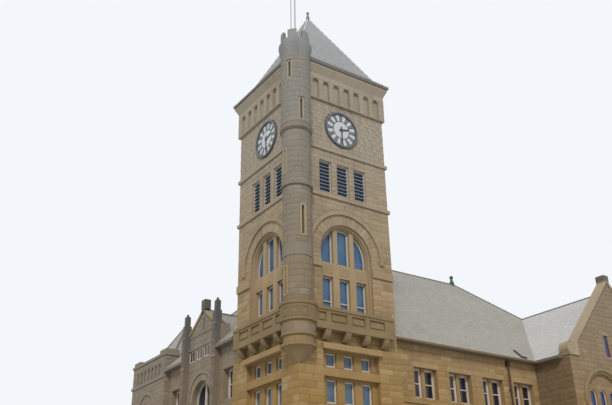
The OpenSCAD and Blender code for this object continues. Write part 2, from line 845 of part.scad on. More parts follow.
// The left half of the coping's outline with its kneeler, from the apex block down to the foot and
// back up under the coping, about the gable's middle line
function coping_side(m) = let (f = coping_foot_x, h = gable_w / 2, a = apex_block_w / 2, r = kneeler_r)
    concat([[-m * a, apex_block_z], [-m * a, coping_z(h - a)], [-m * (h - f), coping_z(f)]],
           [for (t = [90:-15:-45])
               [-m * (h + kneeler_out - r + r * cos(t)), eave_z + kneeler_h - r + r * sin(t)]],
           [[-m * (h + 60), eave_z], [-m * (h - f), eave_z], [-m * (h - f), coping_z(f) - coping_t]]);

module gable_coping() color(pale_stone) {
    left = coping_side(1);
    right = coping_side(-1);
    translate([gable_mid, 0, 0]) along_y(-gable_out - coping_out, -gable_out + wall_t)
        polygon(concat(left, [[0, coping_z(gable_w / 2) - coping_t]], [for (i = [len(right) - 1:-1:0]) right[i]]));
}

// Solid under the main roof's slopes, lowered by drop
module main_roof_body(drop) {
    foot = eave_z - fascia - drop;
    intersection() {
        along_x(eave_left, eave_right)
            polygon([[eave_front, foot], [eave_front, eave_z - drop], [ridge_y, ridge_z - drop],
                     [eave_back, eave_z - drop], [eave_back, foot]]);
        along_y(eave_front, eave_back)
            polygon([[eave_left, foot], [eave_left, eave_z - drop], [eave_left + roof_run, ridge_z - drop],
                     [ridge_x1, ridge_z - drop], [eave_right, eave_z - drop], [eave_right, foot]]);
    }
}

// Solid under the gable wing's roof, lowered by drop
module gable_roof_body(drop) {
    foot = eave_z - fascia - drop;
    along_y(-gable_out + wall_t, gable_back)
        polygon([[gable_mid - gable_half, foot], [gable_mid - gable_half, eave_z - drop],
                 [gable_mid, gable_ridge_z - drop], [gable_mid + gable_half, eave_z - drop],
                 [gable_mid + gable_half, foot]]);
}

// Solid under the entrance bay's small roof, lowered by drop
module entrance_roof_body(drop) {
    along_x(left_x + wall_t, entrance_roof_x)
        polygon([[entrance_mid - entrance_eave_half, eave_z - drop - cut],
                 [entrance_mid, entrance_ridge_z - drop],
                 [entrance_mid + entrance_eave_half, eave_z - drop - cut]]);
}

// The room under the roofs, inside the walls
module attic_room(z0, z1) {
    block([left_x + wall_t, front_y + wall_t, z0], [right_x - wall_t, back_y - wall_t, z1]);
    block([gable_x + wall_t, -gable_out + wall_t, z0], [right_x - wall_t, front_y + wall_t, z1]);
}

// The walls' own heads, which the roofs sit on
module wall_heads() {
    block([left_x, front_y, 0], [right_x, back_y, wall_top_z]);
    block([gable_x, -gable_out, 0], [right_x, back_y, wall_top_z]);
}

// Where the main roof's hip over the gable wing has the roof's front slope before it
module before_right_hip() {
    run = [eave_right - ridge_x1, eave_front - ridge_y];
    far = [ridge_x1, ridge_y] + 1.3 * run;
    linear_extrude(sky) polygon([[ridge_x1, ridge_y], far, [0, far[1]], [0, ridge_y]]);
}

// Joints along the ridge and hips, over the walls' inner faces and beside what rises through
module main_roof_joints() {
    ends = [[eave_left + roof_run, ridge_y], [ridge_x1, ridge_y]];
    slant = (ends[1] - [eave_right, eave_back])[0] / roof_run;
    plan_joint(ends[0], ends[1]);
    for (y = [eave_front, eave_back]) {
        plan_joint([eave_left, y], ends[0]);
        plan_joint([eave_right, y], ends[1]);
    }
    inset = overhang + wall_t;
    front = eave_front + inset;
    back = eave_back - inset;
    left = eave_left + inset;
    right = eave_right - inset;
    hip_x = pavilion_x1 + plinth_out;
    plan_joint([tower_w, front], [gable_x + 2 * wall_t, front]);
    plan_joint([pavilion_x1, back], [eave_right + slant * inset, back]);
    plan_joint([left, tower_w], [left, pavilion_y]);
    plan_joint([right, eave_front - inset / slant], [right, eave_back + inset / slant]);
    plan_joint([tower_w, tower_w], [tower_w, eave_front + tower_w - eave_left]);
    plan_joint([hip_x, eave_back - hip_x + eave_left], [hip_x, pavilion_y]);
    plan_joint([entrance_roof_x - 2 * wall_t / 3, entrance_mid],
               [eave_left + eave_back - entrance_mid, entrance_mid]);
}

module main_roof() color(slate_grey) {
    difference() {
        main_roof_body(0);
        intersection() {
            main_roof_body(roof_t);
            attic_room(0, sky);
        }
        wall_heads();
        block([-sky, -sky, 0], [tower_w, tower_w, sky]);
        block([-sky, pavilion_y, 0], [pavilion_x1, sky, sky]);
        block([-sky, pavilion_y - plinth_out, pavilion_top_z], [pavilion_x1 + plinth_out, sky, sky]);
        block([-sky, entrance_mid - bay_half, 0], [left_x + wall_t, entrance_mid + bay_half, sky]);
        intersection() {
            before_right_hip();
            union() {
                gable_roof_body(0);
                block([gable_mid, -sky, 0], [sky, sky, sky]);
            }
        }
        entrance_roof_body(0);
        main_roof_joints();
    }
}

module gable_roof() color(slate_grey) {
    difference() {
        gable_roof_body(0);
        intersection() {
            gable_roof_body(roof_t);
            attic_room(0, sky);
        }
        wall_heads();
        main_roof_body(0);
        block([-sky, eave_front, 0], [sky, sky, eave_z - fascia]);
    }
}

module entrance_roof() color(slate_grey) {
    difference() {
        entrance_roof_body(0);
        entrance_roof_body(roof_t);
        main_roof_body(0);
    }
}

module entrance_bay_wall() color(wall_stone) {
    t = left_x + wall_t - bay_x;
    inner = bay_half - buttress_w;
    difference() {
        entrance_place() along_y(0, t)
            polygon([[-bay_half, 0], [bay_half, 0], [bay_half, bay_shoulder_z], [inner, bay_shoulder_z],
                     [0, bay_apex_z], [-inner, bay_shoulder_z], [-bay_half, bay_shoulder_z]]);
        entrance_place() {
            along_y(-cut, t + cut) arched(door_r, floor_levels[0], door_spring_z);
            pair_hole(pair_w, storeys[1]);
            along_y(-cut, t + cut) arched(bay_arch_r, bay_sill_z, bay_spring_z);
            for (i = [0:3]) translate([(i - 1.5) * bay_light_pitch, 0, 0])
                along_y(-cut, t + cut) upright(bay_light[0], [bay_light[1], bay_light[2]]);
            along_y(-cut, t + cut) upright(bay_slit[0], [bay_slit[1], bay_slit[2]]);
        }
    }
}

// The buttresses with their pinnacles, and the coping and block on the bay's gable
module entrance_pinnacles() color(dark_stone) {
    inner = bay_half - buttress_w;
    half = pinnacle_w / 2;
    middle = buttress_w / 2 - buttress_out;
    entrance_place() {
        for (s = [-1, 1]) translate([s * (bay_half - buttress_w / 2), 0, 0]) {
            block([-buttress_w / 2, -buttress_out, 0], [buttress_w / 2, 0, pinnacle_z[0]]);
            block([-buttress_w / 2, 0, bay_shoulder_z],
                  [buttress_w / 2, buttress_w - buttress_out, pinnacle_z[0]]);
            block([-half, middle - half, pinnacle_z[0]], [half, middle + half, pinnacle_z[1]]);
            translate([0, middle, pinnacle_z[1]])
                cylinder(r1 = half * 0.85, r2 = half / 3, h = pinnacle_z[2] - pinnacle_z[1]);
        }
        along_y(-bay_coping_out, wall_t)
            polygon([[-inner, bay_shoulder_z], [-inner, bay_shoulder_z + bay_coping_t],
                     [0, bay_apex_z + bay_coping_t], [inner, bay_shoulder_z + bay_coping_t],
                     [inner, bay_shoulder_z], [0, bay_apex_z]]);
        along_y(-bay_coping_out, bay_block[1] - bay_coping_out) upright(bay_block[0], bay_block_z);
    }
}

module entrance_doors() color([0.30, 0.20, 0.13]) {
    entrance_place() along_y(window_depth, window_depth + door_t) difference() {
        arched(door_r - glass_gap, floor_levels[0], door_spring_z);
        upright(2 * glass_gap, [0, sky]);
    }
}

module entrance_steps() color(pale_stone) {
    entrance_place() for (i = [0:3])
        along_y(-step_run * (i + 1), -step_run * i) upright(steps_w, [0, floor_levels[0] - step_rise * i]);
}

module pavilion_walls() color(wall_stone) {
    x1 = pavilion_x1;
    t = wall_t;
    low = floor_levels[0] - floor_t;
    ceiling = eave_z - 300;
    difference() {
        block([pavilion_x, pavilion_y, 0], [x1, pavilion_y1, pavilion_top_z]);
        block([pavilion_x + t, pavilion_y + t, -cut], [x1 - t, pavilion_y1 - t, pavilion_top_z + cut]);
        block([left_x + t, pavilion_y - cut, low], [x1 + cut, pavilion_y + t + cut, ceiling]);
        block([x1 - t - cut, pavilion_y + t, low], [x1 + cut, back_y - t, ceiling]);
        bed_joints([[low, ceiling]], pavilion_x - cut, x1 + cut, pavilion_y - cut, pavilion_y1 + cut);
        block([pavilion_x + t, pavilion_y - cut, -cut],
              [pavilion_x + t + joint, pavilion_y1 + cut, pavilion_top_z + cut]);
        for (y = [pavilion_y + t, pavilion_y1 - t - joint])
            block([x1 - t - cut, y, -cut], [x1 + cut, y + joint, pavilion_top_z + cut]);
        pavilion_places() {
            for (z = [storeys[0], storeys[1], pavilion_row]) pair_hole(pair_w, z);
            for (i = [0:niche_count - 1]) translate([(i - 3) * pavilion_niche_pitch, 0, pavilion_niche_z])
                along_y(-cut, niche_depth) arched(pavilion_niche_r, 0, pavilion_niche_h);
        }
    }
}

module pavilion_parapet() color(pale_stone) {
    z0 = pavilion_top_z;
    z1 = pavilion_top_z + pavilion_coping_h;
    out = plinth_out;
    b = pavilion_block[0];
    difference() {
        union() {
            block([pavilion_x - out, pavilion_y - out, z0], [pavilion_x1 + out, pavilion_y1 + out, z1]);
            for (x = [pavilion_x, pavilion_x1 - b], y = [pavilion_y, pavilion_y1 - b])
                block([x, y, z1], [x + b, y + b, pavilion_top_z + pavilion_block[1]]);
        }
        block([pavilion_x + wall_t, pavilion_y + wall_t, 0],
              [pavilion_x1 - wall_t, pavilion_y1 - wall_t, sky]);
    }
    pavilion_cheeks(z1 + joint, pavilion_top_z + pavilion_block[1] + joint);
}

// Walls on the parapet that close the cut sides of the main roof: over the coping, and over the block
// at the inner corner
module pavilion_cheeks(z, corner_z) {
    b = pavilion_block[0];
    y = pavilion_y - plinth_out + joint;
    x1 = pavilion_x1 + plinth_out - joint;
    intersection() {
        main_roof_body(0);
        union() {
            block([pavilion_x + b + joint, y, z], [pavilion_x1 - b - joint, pavilion_y + cheek_t, sky]);
            block([pavilion_x1 - b, y, corner_z], [x1, pavilion_y + cheek_t, sky]);
            block([pavilion_x1 - cheek_t, pavilion_y + cheek_t + joint, corner_z], [x1, pavilion_y + b, sky]);
            block([pavilion_x1 - cheek_t, pavilion_y + b + joint, z], [x1, pavilion_y1 - b - joint, sky]);
        }
    }
}

// Profile of the pavilion's roof, from a to b along the ground
module pavilion_profile(a, b, drop) {
    eave = pavilion_eave_z - drop;
    apex = [(a + b) / 2, pavilion_apex_z - drop];
    polygon([[a, eave - roof_t], [a, eave], apex, [b, eave], [b, eave - roof_t]]);
}

module pavilion_pyramid(x0, x1, y0, y1, drop) {
    intersection() {
        along_y(y0, y1) pavilion_profile(x0, x1, drop);
        along_x(x0, x1) pavilion_profile(y0, y1, drop);
    }
}

module pavilion_roof() color(slate_grey) {
    t = wall_t;
    difference() {
        pavilion_pyramid(pavilion_x + t, pavilion_x1 - t, pavilion_y + t, pavilion_y1 - t, 0);
        pavilion_pyramid(pavilion_x + t, pavilion_x1 - t, pavilion_y + t, pavilion_y1 - t, roof_t + cut);
        plan_joint([pavilion_x, pavilion_y], [pavilion_x1, pavilion_y1]);
        plan_joint([pavilion_x, pavilion_y1], [pavilion_x1, pavilion_y]);
    }
}

module main_floors() color(timber) {
    for (z = floor_levels) translate([0, 0, z - floor_t]) {
        block([tower_w, front_y + wall_t, 0], [right_x - wall_t, back_y - wall_t, floor_t]);
        block([gable_x + wall_t, -gable_out + wall_t, 0], [right_x - wall_t, front_y + wall_t, floor_t]);
        block([left_x + wall_t, tower_w, 0], [tower_w, back_y - wall_t, floor_t]);
        block([pavilion_x + wall_t, pavilion_y + wall_t, 0],
              [pavilion_x1 - wall_t, pavilion_y1 - wall_t, floor_t]);
    }
}

// A course of stone along the wings' walls, from z[0] to z[1]
module wing_course(z, out) {
    block([tower_w + base_out + plinth_out, front_y - out, z[0]], [gable_x - out - joint, front_y, z[1]]);
    block([gable_x - out, -gable_out + joint, z[0]], [gable_x, front_y, z[1]]);
    block([right_x, -gable_out + joint, z[0]], [right_x + out, back_y + out, z[1]]);
    block([pavilion_x1 + plinth_out + joint, back_y, z[0]], [right_x - joint, back_y + out, z[1]]);
}

module plinth_and_strings() color(pale_stone) {
    out = plinth_out;
    wing_course([0, plinth_z], out);
    block([gable_x - out, -gable_out - out, 0], [right_x + out, -gable_out, plinth_z]);
    wing_course([sill_string_z, sill_string_z + string_h], out);
    block([left_x - out, tower_w + base_out + out, 0], [left_x, entrance_mid - bay_half, plinth_z]);
    block([left_x - out, entrance_mid + bay_half, 0], [left_x, pavilion_y - out, plinth_z]);
    block([pavilion_x - out, pavilion_y - out, 0], [pavilion_x, pavilion_y1 + out, plinth_z]);
    block([pavilion_x + joint, pavilion_y - out, 0], [left_x - out - joint, pavilion_y, plinth_z]);
    block([pavilion_x + joint, pavilion_y1, 0], [pavilion_x1 + out, pavilion_y1 + out, plinth_z]);
    block([pavilion_x1, back_y + joint, 0], [pavilion_x1 + out, pavilion_y1 - joint, plinth_z]);
    gable_places() along_y(-coping_out, 0) hood(gable_hood_r - hood_w, gable_hood_r, gable_arch_z, string_h);
    block([pavilion_x - out, pavilion_y, pavilion_string_z],
          [pavilion_x, pavilion_y1 + out, pavilion_string_z + string_h]);
    block([pavilion_x + joint, pavilion_y1, pavilion_string_z],
          [pavilion_x1, pavilion_y1 + out, pavilion_string_z + string_h]);
    pavilion_places() along_y(-out, 0)
        hood(pavilion_hood_r - hood_w, pavilion_hood_r, pavilion_hood_z, 3 * string_h);
    entrance_place() along_y(-out, 0) hood(bay_hood_r - hood_w, bay_hood_r, bay_spring_z, 900);
}

module window_frames() color(frame_white) {
    front_places() for (z = storeys) pair_frame(pair_w, z);
    left_places() for (z = storeys) pair_frame(left_pair_w, z);
    right_places() for (z = storeys) pair_frame(pair_w, z);
    back_places() for (z = storeys) pair_frame(pair_w, z);
    gable_places() for (i = [0:1]) pair_frame(pair_w, storeys[i]);
    pavilion_places() for (z = [storeys[0], storeys[1], pavilion_row]) pair_frame(pair_w, z);
    entrance_place() {
        pair_frame(pair_w, storeys[1]);
        along_y(window_depth, window_depth + frame_t) difference() {
            arched(bay_arch_r, bay_sill_z, bay_spring_z);
            intersection() {
                arched(bay_arch_r - frame_w, bay_sill_z + frame_w, bay_spring_z);
                for (s = [-1, 1]) translate([s * bay_arch_r / 2, 0])
                    upright(bay_arch_r - 2 * frame_w, [bay_sill_z, bay_spring_z + bay_arch_r]);
            }
            for (z = [bay_sill_z + frame_w, bay_spring_z])
                for (s = [0, 1]) mirror([s, 0]) translate([frame_w, z]) square([bay_arch_r, joint]);
            for (s = [0, 1], z = [bay_sill_z, bay_spring_z])
                mirror([s, 0]) translate([frame_w, z - cut]) square([joint, bay_arch_r + 2 * cut]);
            for (t = [30, 60, 120, 150])
                translate([0, bay_spring_z]) rotate(t) translate([0, -joint / 2]) square([bay_arch_r + cut, joint]);
        }
    }
}

module window_glass() color(glass_blue) {
    g = glass_gap;
    front_places() for (z = storeys) pair_glass(pair_w, z);
    left_places() for (z = storeys) pair_glass(left_pair_w, z);
    right_places() for (z = storeys) pair_glass(pair_w, z);
    back_places() for (z = storeys) pair_glass(pair_w, z);
    gable_places() {
        for (i = [0:1]) pair_glass(pair_w, storeys[i]);
        for (i = [-1:1]) translate([i * gable_light_pitch, 0, 0])
            along_y(window_depth, window_depth + glass_t)
                arched(gable_light_r - g, gable_lights_z[0] + g, gable_lights_z[1] - gable_light_r);
    }
    for (i = [-1:1]) translate([gable_mid + i * gable_slit_pitch, -gable_out, 0])
        along_y(slit_glass, slit_glass + glass_t)
            upright(gable_slit[0] - 2 * g, [gable_slit[1] + g, gable_slit[2] - g]);
    pavilion_places() for (z = [storeys[0], storeys[1], pavilion_row]) pair_glass(pair_w, z);
    entrance_place() {
        pair_glass(pair_w, storeys[1]);
        along_y(window_depth + frame_t, window_depth + frame_t + glass_t)
            arched(bay_arch_r - g, bay_sill_z + g, bay_spring_z);
        along_y(slit_glass, slit_glass + glass_t) {
            for (i = [0:3]) translate([(i - 1.5) * bay_light_pitch, 0])
                upright(bay_light[0] - 2 * g, [bay_light[1] + g, bay_light[2] - g]);
            upright(bay_slit[0] - 2 * g, [bay_slit[1] + g, bay_slit[2] - g]);
        }
    }
}

module rainwater_pipe() color([0.30, 0.22, 0.17]) {
    pipe_x = 17500;
    pipe_y = front_y - 170;
    pipe_r = 55;
    head_z = 13050;
    translate([pipe_x, pipe_y, 0]) cylinder(r = pipe_r, h = head_z);
    block([pipe_x - 120, pipe_y - 90, head_z], [pipe_x + 120, front_y, head_z + 300]);
    for (z = [2500, 5500, 8500, 11500]) block([pipe_x - 80, pipe_y, z], [pipe_x + 80, front_y, z + 60]);
    block([tower_w, eave_front - gutter, eave_z - fascia], [gable_x - overhang, eave_front, eave_z - 20]);
    block([eave_right, -gable_out + wall_t, eave_z - fascia],
          [eave_right + gutter, eave_back + gutter, eave_z - 20]);
    block([pavilion_x1, eave_back, eave_z - fascia],
          [eave_right - joint, eave_back + gutter, eave_z - 20]);
}

centred() tower_base_walls();
centred() tower_arch_walls();
centred() tower_belfry_walls();
centred() tower_clock_walls();
centred() tower_arcade_walls();
centred() tower_string_courses();
centred() tower_floors();
centred() tower_window_stonework();
centred() tower_window_glass();
centred() belfry_louvres();
centred() clock_dials();
centred() minute_hand_front();
centred() hour_hand_front();
centred() minute_hand_left();
centred() hour_hand_left();
centred() rear_clock_hands();
centred() tower_roof();
centred() roof_finials();
centred() stair_turret();
centred() turret_crown();
centred() turret_poles();
centred() balcony_floor();
centred() balcony_parapet();
centred() front_wall();
centred() left_wall();
centred() back_wall();
centred() right_wall();
centred() gable_front_wall();
centred() gable_side_wall();
centred() gable_coping();
centred() gable_roof();
centred() entrance_bay_wall();
centred() entrance_pinnacles();
centred() entrance_roof();
centred() entrance_doors();
centred() entrance_steps();
centred() pavilion_walls();
centred() pavilion_parapet();
centred() pavilion_roof();
centred() main_roof();
centred() main_floors();
centred() plinth_and_strings();
centred() window_frames();
centred() window_glass();
centred() rainwater_pipe();
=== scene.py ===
import json
import math
import random

import bmesh
import bpy
from mathutils import Matrix, Vector, noise

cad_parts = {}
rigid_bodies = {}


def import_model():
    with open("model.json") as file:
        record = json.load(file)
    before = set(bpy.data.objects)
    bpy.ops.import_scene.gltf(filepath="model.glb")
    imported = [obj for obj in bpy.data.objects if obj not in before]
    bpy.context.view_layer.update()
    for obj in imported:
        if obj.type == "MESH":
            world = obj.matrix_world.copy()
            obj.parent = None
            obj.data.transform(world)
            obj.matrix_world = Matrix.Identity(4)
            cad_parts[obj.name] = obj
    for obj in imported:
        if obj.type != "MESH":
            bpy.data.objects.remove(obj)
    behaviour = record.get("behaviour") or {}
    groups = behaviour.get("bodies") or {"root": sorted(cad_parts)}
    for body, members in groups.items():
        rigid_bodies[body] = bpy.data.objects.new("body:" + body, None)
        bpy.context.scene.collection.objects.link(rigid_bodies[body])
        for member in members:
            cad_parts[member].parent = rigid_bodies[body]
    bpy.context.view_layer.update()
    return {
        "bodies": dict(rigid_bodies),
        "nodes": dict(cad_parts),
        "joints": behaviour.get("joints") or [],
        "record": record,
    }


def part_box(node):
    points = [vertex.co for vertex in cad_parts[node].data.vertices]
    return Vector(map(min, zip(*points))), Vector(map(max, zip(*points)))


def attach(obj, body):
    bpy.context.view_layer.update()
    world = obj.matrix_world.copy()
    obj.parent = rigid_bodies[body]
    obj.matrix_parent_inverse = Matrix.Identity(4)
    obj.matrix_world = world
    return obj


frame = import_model()
nodes = frame["nodes"]
print("frame loaded,", len(nodes), "nodes")


def lowOf(node):
    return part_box(node)[0]


def highOf(node):
    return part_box(node)[1]


# Places are measured in metres from the tower's front left corner, where the stair turret stands
corner = lowOf("tower_belfry_walls")
towerWide = highOf("tower_belfry_walls").x - corner.x
middle = towerWide / 2
balconyZ = lowOf("tower_arch_walls").z
belfryZ = lowOf("tower_belfry_walls").z
clockZ = lowOf("tower_clock_walls").z
arcadeZ = lowOf("tower_arcade_walls").z
frontY = lowOf("front_wall").y - corner.y
backY = highOf("back_wall").y - corner.y
leftX = lowOf("left_wall").x - corner.x
rightX = highOf("right_wall").x - corner.x
gableX = lowOf("gable_front_wall").x - corner.x
gableY = lowOf("gable_front_wall").y - corner.y
gableMid = (gableX + rightX) / 2
bayY = (lowOf("entrance_bay_wall").y - corner.y, highOf("entrance_bay_wall").y - corner.y)
bayX = lowOf("entrance_bay_wall").x - corner.x
pavilionLow = lowOf("pavilion_walls") - corner
pavilionHigh = highOf("pavilion_walls") - corner
pavilionTop = highOf("pavilion_walls").z
plinthZ = 0.95
soffitZ = lowOf("main_roof").z

chance = random.Random(1893)


def at(x, y, z=0.0):
    return Vector((corner.x + x, corner.y + y, z))


# A wall is drawn flat: x runs along it to the right, y is the height and z stands out of it
facings = {"front": 0, "left": 1, "back": 2, "right": 3}


def wallPlane(facing, x, y):
    turn = -math.pi / 2 * facings[facing]
    along = Vector((math.cos(turn), math.sin(turn), 0))
    outward = Vector((along.y, -along.x, 0))
    place = Matrix((along, Vector((0, 0, 1)), outward)).transposed().to_4x4()
    place.translation = at(x, y)
    return place


# Camera at the picture's own standpoint
viewWork = {"place": (-20.759, -31.379, 1.6), "yaw": 34.242, "pitch": 25.632, "roll": -1.057, "lens": 44.474}


def addCamera(work):
    yaw, pitch, roll = (math.radians(work[key]) for key in ("yaw", "pitch", "roll"))
    forward = Vector((math.sin(yaw) * math.cos(pitch), math.cos(yaw) * math.cos(pitch), math.sin(pitch)))
    level = Vector((math.cos(yaw), -math.sin(yaw), 0))
    over = level.cross(forward)
    right = level * math.cos(roll) + over * math.sin(roll)
    up = over * math.cos(roll) - level * math.sin(roll)
    data = bpy.data.cameras.new("viewCamera")
    data.lens = work["lens"]
    data.clip_end = 400
    camera = bpy.data.objects.new("viewCamera", data)
    turned = Matrix((right, up, -forward)).transposed().to_4x4()
    turned.translation = at(*work["place"])
    camera.matrix_world = turned
    bpy.context.scene.collection.objects.link(camera)
    bpy.context.scene.camera = camera


addCamera(viewWork)
bpy.context.scene.view_settings.view_transform = "Standard"

# Node building

def link(tree, value, socket):
    # joins a socket to another, or gives it a plain value
    if isinstance(value, bpy.types.NodeSocket):
        tree.links.new(value, socket)
    else:
        socket.default_value = value


def put(tree, kind, inputs=None, **settings):
    node = tree.nodes.new(kind)
    for name, value in settings.items():
        setattr(node, name, value)
    for name, value in (inputs or {}).items():
        link(tree, value, node.inputs[name])
    return node


def sums(tree, operation, *values):
    node = put(tree, "ShaderNodeMath", operation=operation)
    for value, socket in zip(values, node.inputs):
        link(tree, value, socket)
    return node.outputs[0]


def blendColour(tree, factor, first, second, mode="MIX"):
    node = put(tree, "ShaderNodeMix", data_type="RGBA", blend_type=mode)
    for index, value in ((0, factor), (6, first), (7, second)):
        link(tree, value, node.inputs[index])
    return node.outputs[2]


def tinge(tree, colour, mask, amount, shade):
    # shade over colour where the mask is, as strongly as amount says
    return blendColour(tree, sums(tree, "MULTIPLY", mask, amount), colour, shade)


def ramp(tree, value, low, high):
    node = put(tree, "ShaderNodeMapRange", {"Value": value, "From Min": low, "From Max": high})
    return node.outputs[0]


def objectPlace(tree):
    return put(tree, "ShaderNodeTexCoord").outputs["Object"]


def placeParts(tree):
    return put(tree, "ShaderNodeSeparateXYZ", {"Vector": objectPlace(tree)}).outputs


def stoneTone(tree):
    return put(tree, "ShaderNodeAttribute", attribute_name="tone").outputs["Fac"]


def paint(red, green, blue):
    def linear(level):
        level /= 255
        return level / 12.92 if level <= 0.04045 else ((level + 0.055) / 1.055) ** 2.4
    return (linear(red), linear(green), linear(blue), 1.0)


def newGroup(name, inputs, outputs):
    group = bpy.data.node_groups.new(name, "ShaderNodeTree")
    for label, value in inputs.items():
        socket = group.interface.new_socket(name=label, in_out="INPUT", socket_type="NodeSocketFloat")
        socket.default_value = value
    for label in outputs:
        group.interface.new_socket(name=label, in_out="OUTPUT", socket_type="NodeSocketFloat")
    return group, put(group, "NodeGroupInput").outputs, put(group, "NodeGroupOutput").inputs


def mottleGroup():
    group, given, out = newGroup("stoneMottle", {"patchSize": 2.0, "grainSize": 0.06},
                                 ("Patches", "Grain", "Height"))
    place = objectPlace(group)
    grainScale = sums(group, "DIVIDE", 1.0, given["grainSize"])
    patches = put(group, "ShaderNodeTexNoise", {"Vector": place, "Detail": 4.0, "Roughness": 0.6,
                                                "Scale": sums(group, "DIVIDE", 1.0, given["patchSize"])})
    grain = put(group, "ShaderNodeTexNoise", {"Vector": place, "Scale": grainScale, "Detail": 5.0,
                                              "Roughness": 0.65})
    pits = put(group, "ShaderNodeTexVoronoi", {"Vector": place, "Scale": grainScale}, feature="SMOOTH_F1")
    pitted = sums(group, "MULTIPLY", ramp(group, pits.outputs["Distance"], 0.0, 0.7), 0.3)
    link(group, ramp(group, patches.outputs[0], 0.3, 0.7), out["Patches"])
    link(group, ramp(group, grain.outputs[0], 0.25, 0.75), out["Grain"])
    link(group, sums(group, "MULTIPLY_ADD", grain.outputs[0], 0.7, pitted), out["Height"])
    return group


def stainGroup():
    group, given, out = newGroup("rainStains", {"low": 0.52, "high": 0.72}, ("Mask",))
    place = objectPlace(group)
    drawn = put(group, "ShaderNodeMapping", {"Vector": place, "Scale": (1.6, 1.6, 0.12)}).outputs[0]
    runs = put(group, "ShaderNodeTexNoise", {"Vector": drawn, "Scale": 1.0, "Detail": 5.0})
    soot = put(group, "ShaderNodeTexNoise", {"Vector": place, "Scale": 0.35, "Detail": 3.0})
    both = sums(group, "MULTIPLY_ADD", runs.outputs[0], 0.6, sums(group, "MULTIPLY", soot.outputs[0], 0.4))
    link(group, ramp(group, both, given["low"], given["high"]), out["Mask"])
    return group


def jointGroup():
    group, given, out = newGroup("fineJoints", {"spacing": 0.9, "width": 0.014}, ("Mask",))
    x, y = placeParts(group)[:2]
    along = sums(group, "ADD", x, y)
    phase = sums(group, "PINGPONG", along, sums(group, "MULTIPLY", given["spacing"], 0.5))
    link(group, sums(group, "LESS_THAN", phase, sums(group, "MULTIPLY", given["width"], 0.5)), out["Mask"])
    return group


mottle = mottleGroup()
stains = stainGroup()
joints = jointGroup()


def placed(tree, group, **inputs):
    node = put(tree, "ShaderNodeGroup", node_tree=group)
    for name, value in inputs.items():
        node.inputs[name].default_value = value
    return node.outputs


def newMaterial(name, **values):
    material = bpy.data.materials.new(name)
    material.use_nodes = True
    tree = material.node_tree
    shader = tree.nodes["Principled BSDF"]
    for label, value in values.items():
        shader.inputs[label].default_value = value
    return material, tree, shader


def bumpUp(tree, shader, height, distance, strength=0.6):
    bump = put(tree, "ShaderNodeBump", {"Height": height, "Distance": distance, "Strength": strength})
    tree.links.new(bump.outputs[0], shader.inputs["Normal"])


# Stone: golden low down, greyer with height, darker where rain runs
stoneTints = {
    "low": paint(152, 119, 64),
    "high": paint(160, 150, 134),
    "fade": (9.0, 25.0),
    "pale": paint(192, 172, 132),
    "brown": paint(116, 90, 56),
    "soot": paint(98, 90, 78),
}
stoneLook = {"patch": 1.6, "spread": (0.44, -0.24), "grain": 0.16, "joint": 0.5, "ring": 0.6,
             "rings": (0.36, 0.17), "ringWide": 0.03}


def stoneMaterial(name, laid, tints=stoneTints, lift=0.0, stained=0.35, grain=0.06, jointSpacing=0.0,
                  contrast=1.0, wings=(), rolls=(), paleSlopes=None):
    look = stoneLook
    material, tree, shader = newMaterial(name, Roughness=0.88)
    x, y, z = placeParts(tree)
    fade = ramp(tree, z, *tints["fade"])
    colour = blendColour(tree, fade, tints["low"], tints["high"])
    marks = placed(tree, mottle, patchSize=look["patch"], grainSize=grain)
    if laid:
        tone = stoneTone(tree)
    else:
        tone = sums(tree, "MULTIPLY_ADD", marks["Patches"], 0.4, 0.3 + lift)
    spread = sums(tree, "MULTIPLY_ADD", fade, look["spread"][1] * contrast, look["spread"][0] * contrast)
    colour = tinge(tree, colour, ramp(tree, tone, 0.5, 1.0), spread, tints["pale"])
    colour = tinge(tree, colour, ramp(tree, tone, 0.5, 0.0), spread, tints["brown"])
    colour = tinge(tree, colour, marks["Grain"], look["grain"], tints["brown"])
    colour = tinge(tree, colour, placed(tree, stains)["Mask"], stained, tints["soot"])
    if jointSpacing:
        lines = placed(tree, joints, spacing=jointSpacing)
        colour = tinge(tree, colour, lines["Mask"], look["joint"], tints["soot"])
    for across, level in rolls:
        # the roll of a kneeler, drawn as two dark rings: painted shadow of the roll, in the soot colour
        apart = [sums(tree, "SUBTRACT", x, across), sums(tree, "SUBTRACT", z, level)]
        squares = [sums(tree, "MULTIPLY", part, part) for part in apart]
        away = sums(tree, "SQRT", sums(tree, "ADD", *squares))
        for ring in look["rings"]:
            line = sums(tree, "COMPARE", away, ring, look["ringWide"])
            colour = tinge(tree, colour, line, look["ring"], tints["soot"])
    if paleSlopes:
        # pale between a pier and the block on the gable's top
        centre, inner, outer = paleSlopes
        away = sums(tree, "ABSOLUTE", sums(tree, "SUBTRACT", y, centre))
        colour = tinge(tree, colour, sums(tree, "GREATER_THAN", away, inner),
                       sums(tree, "LESS_THAN", away, outer), tints["slope"])
    for along, across, tint in wings:
        # another tint multiplied past an edge along x and one along y, each with the side it lies on; on the
        # left wing it is painted shade
        masks = [ramp(tree, part, edge - 0.02 * side, edge + 0.02 * side)
                 for part, (edge, side) in ((x, along), (y, across))]
        colour = blendColour(tree, sums(tree, "MULTIPLY", *masks), colour, tint, "MULTIPLY")
    tree.links.new(colour, shader.inputs["Base Color"])
    rough = sums(tree, "MULTIPLY_ADD", marks["Grain"], 0.12, 0.8)
    tree.links.new(rough, shader.inputs["Roughness"])
    bumpUp(tree, shader, marks["Height"], 0.012 if laid else 0.005)
    return material


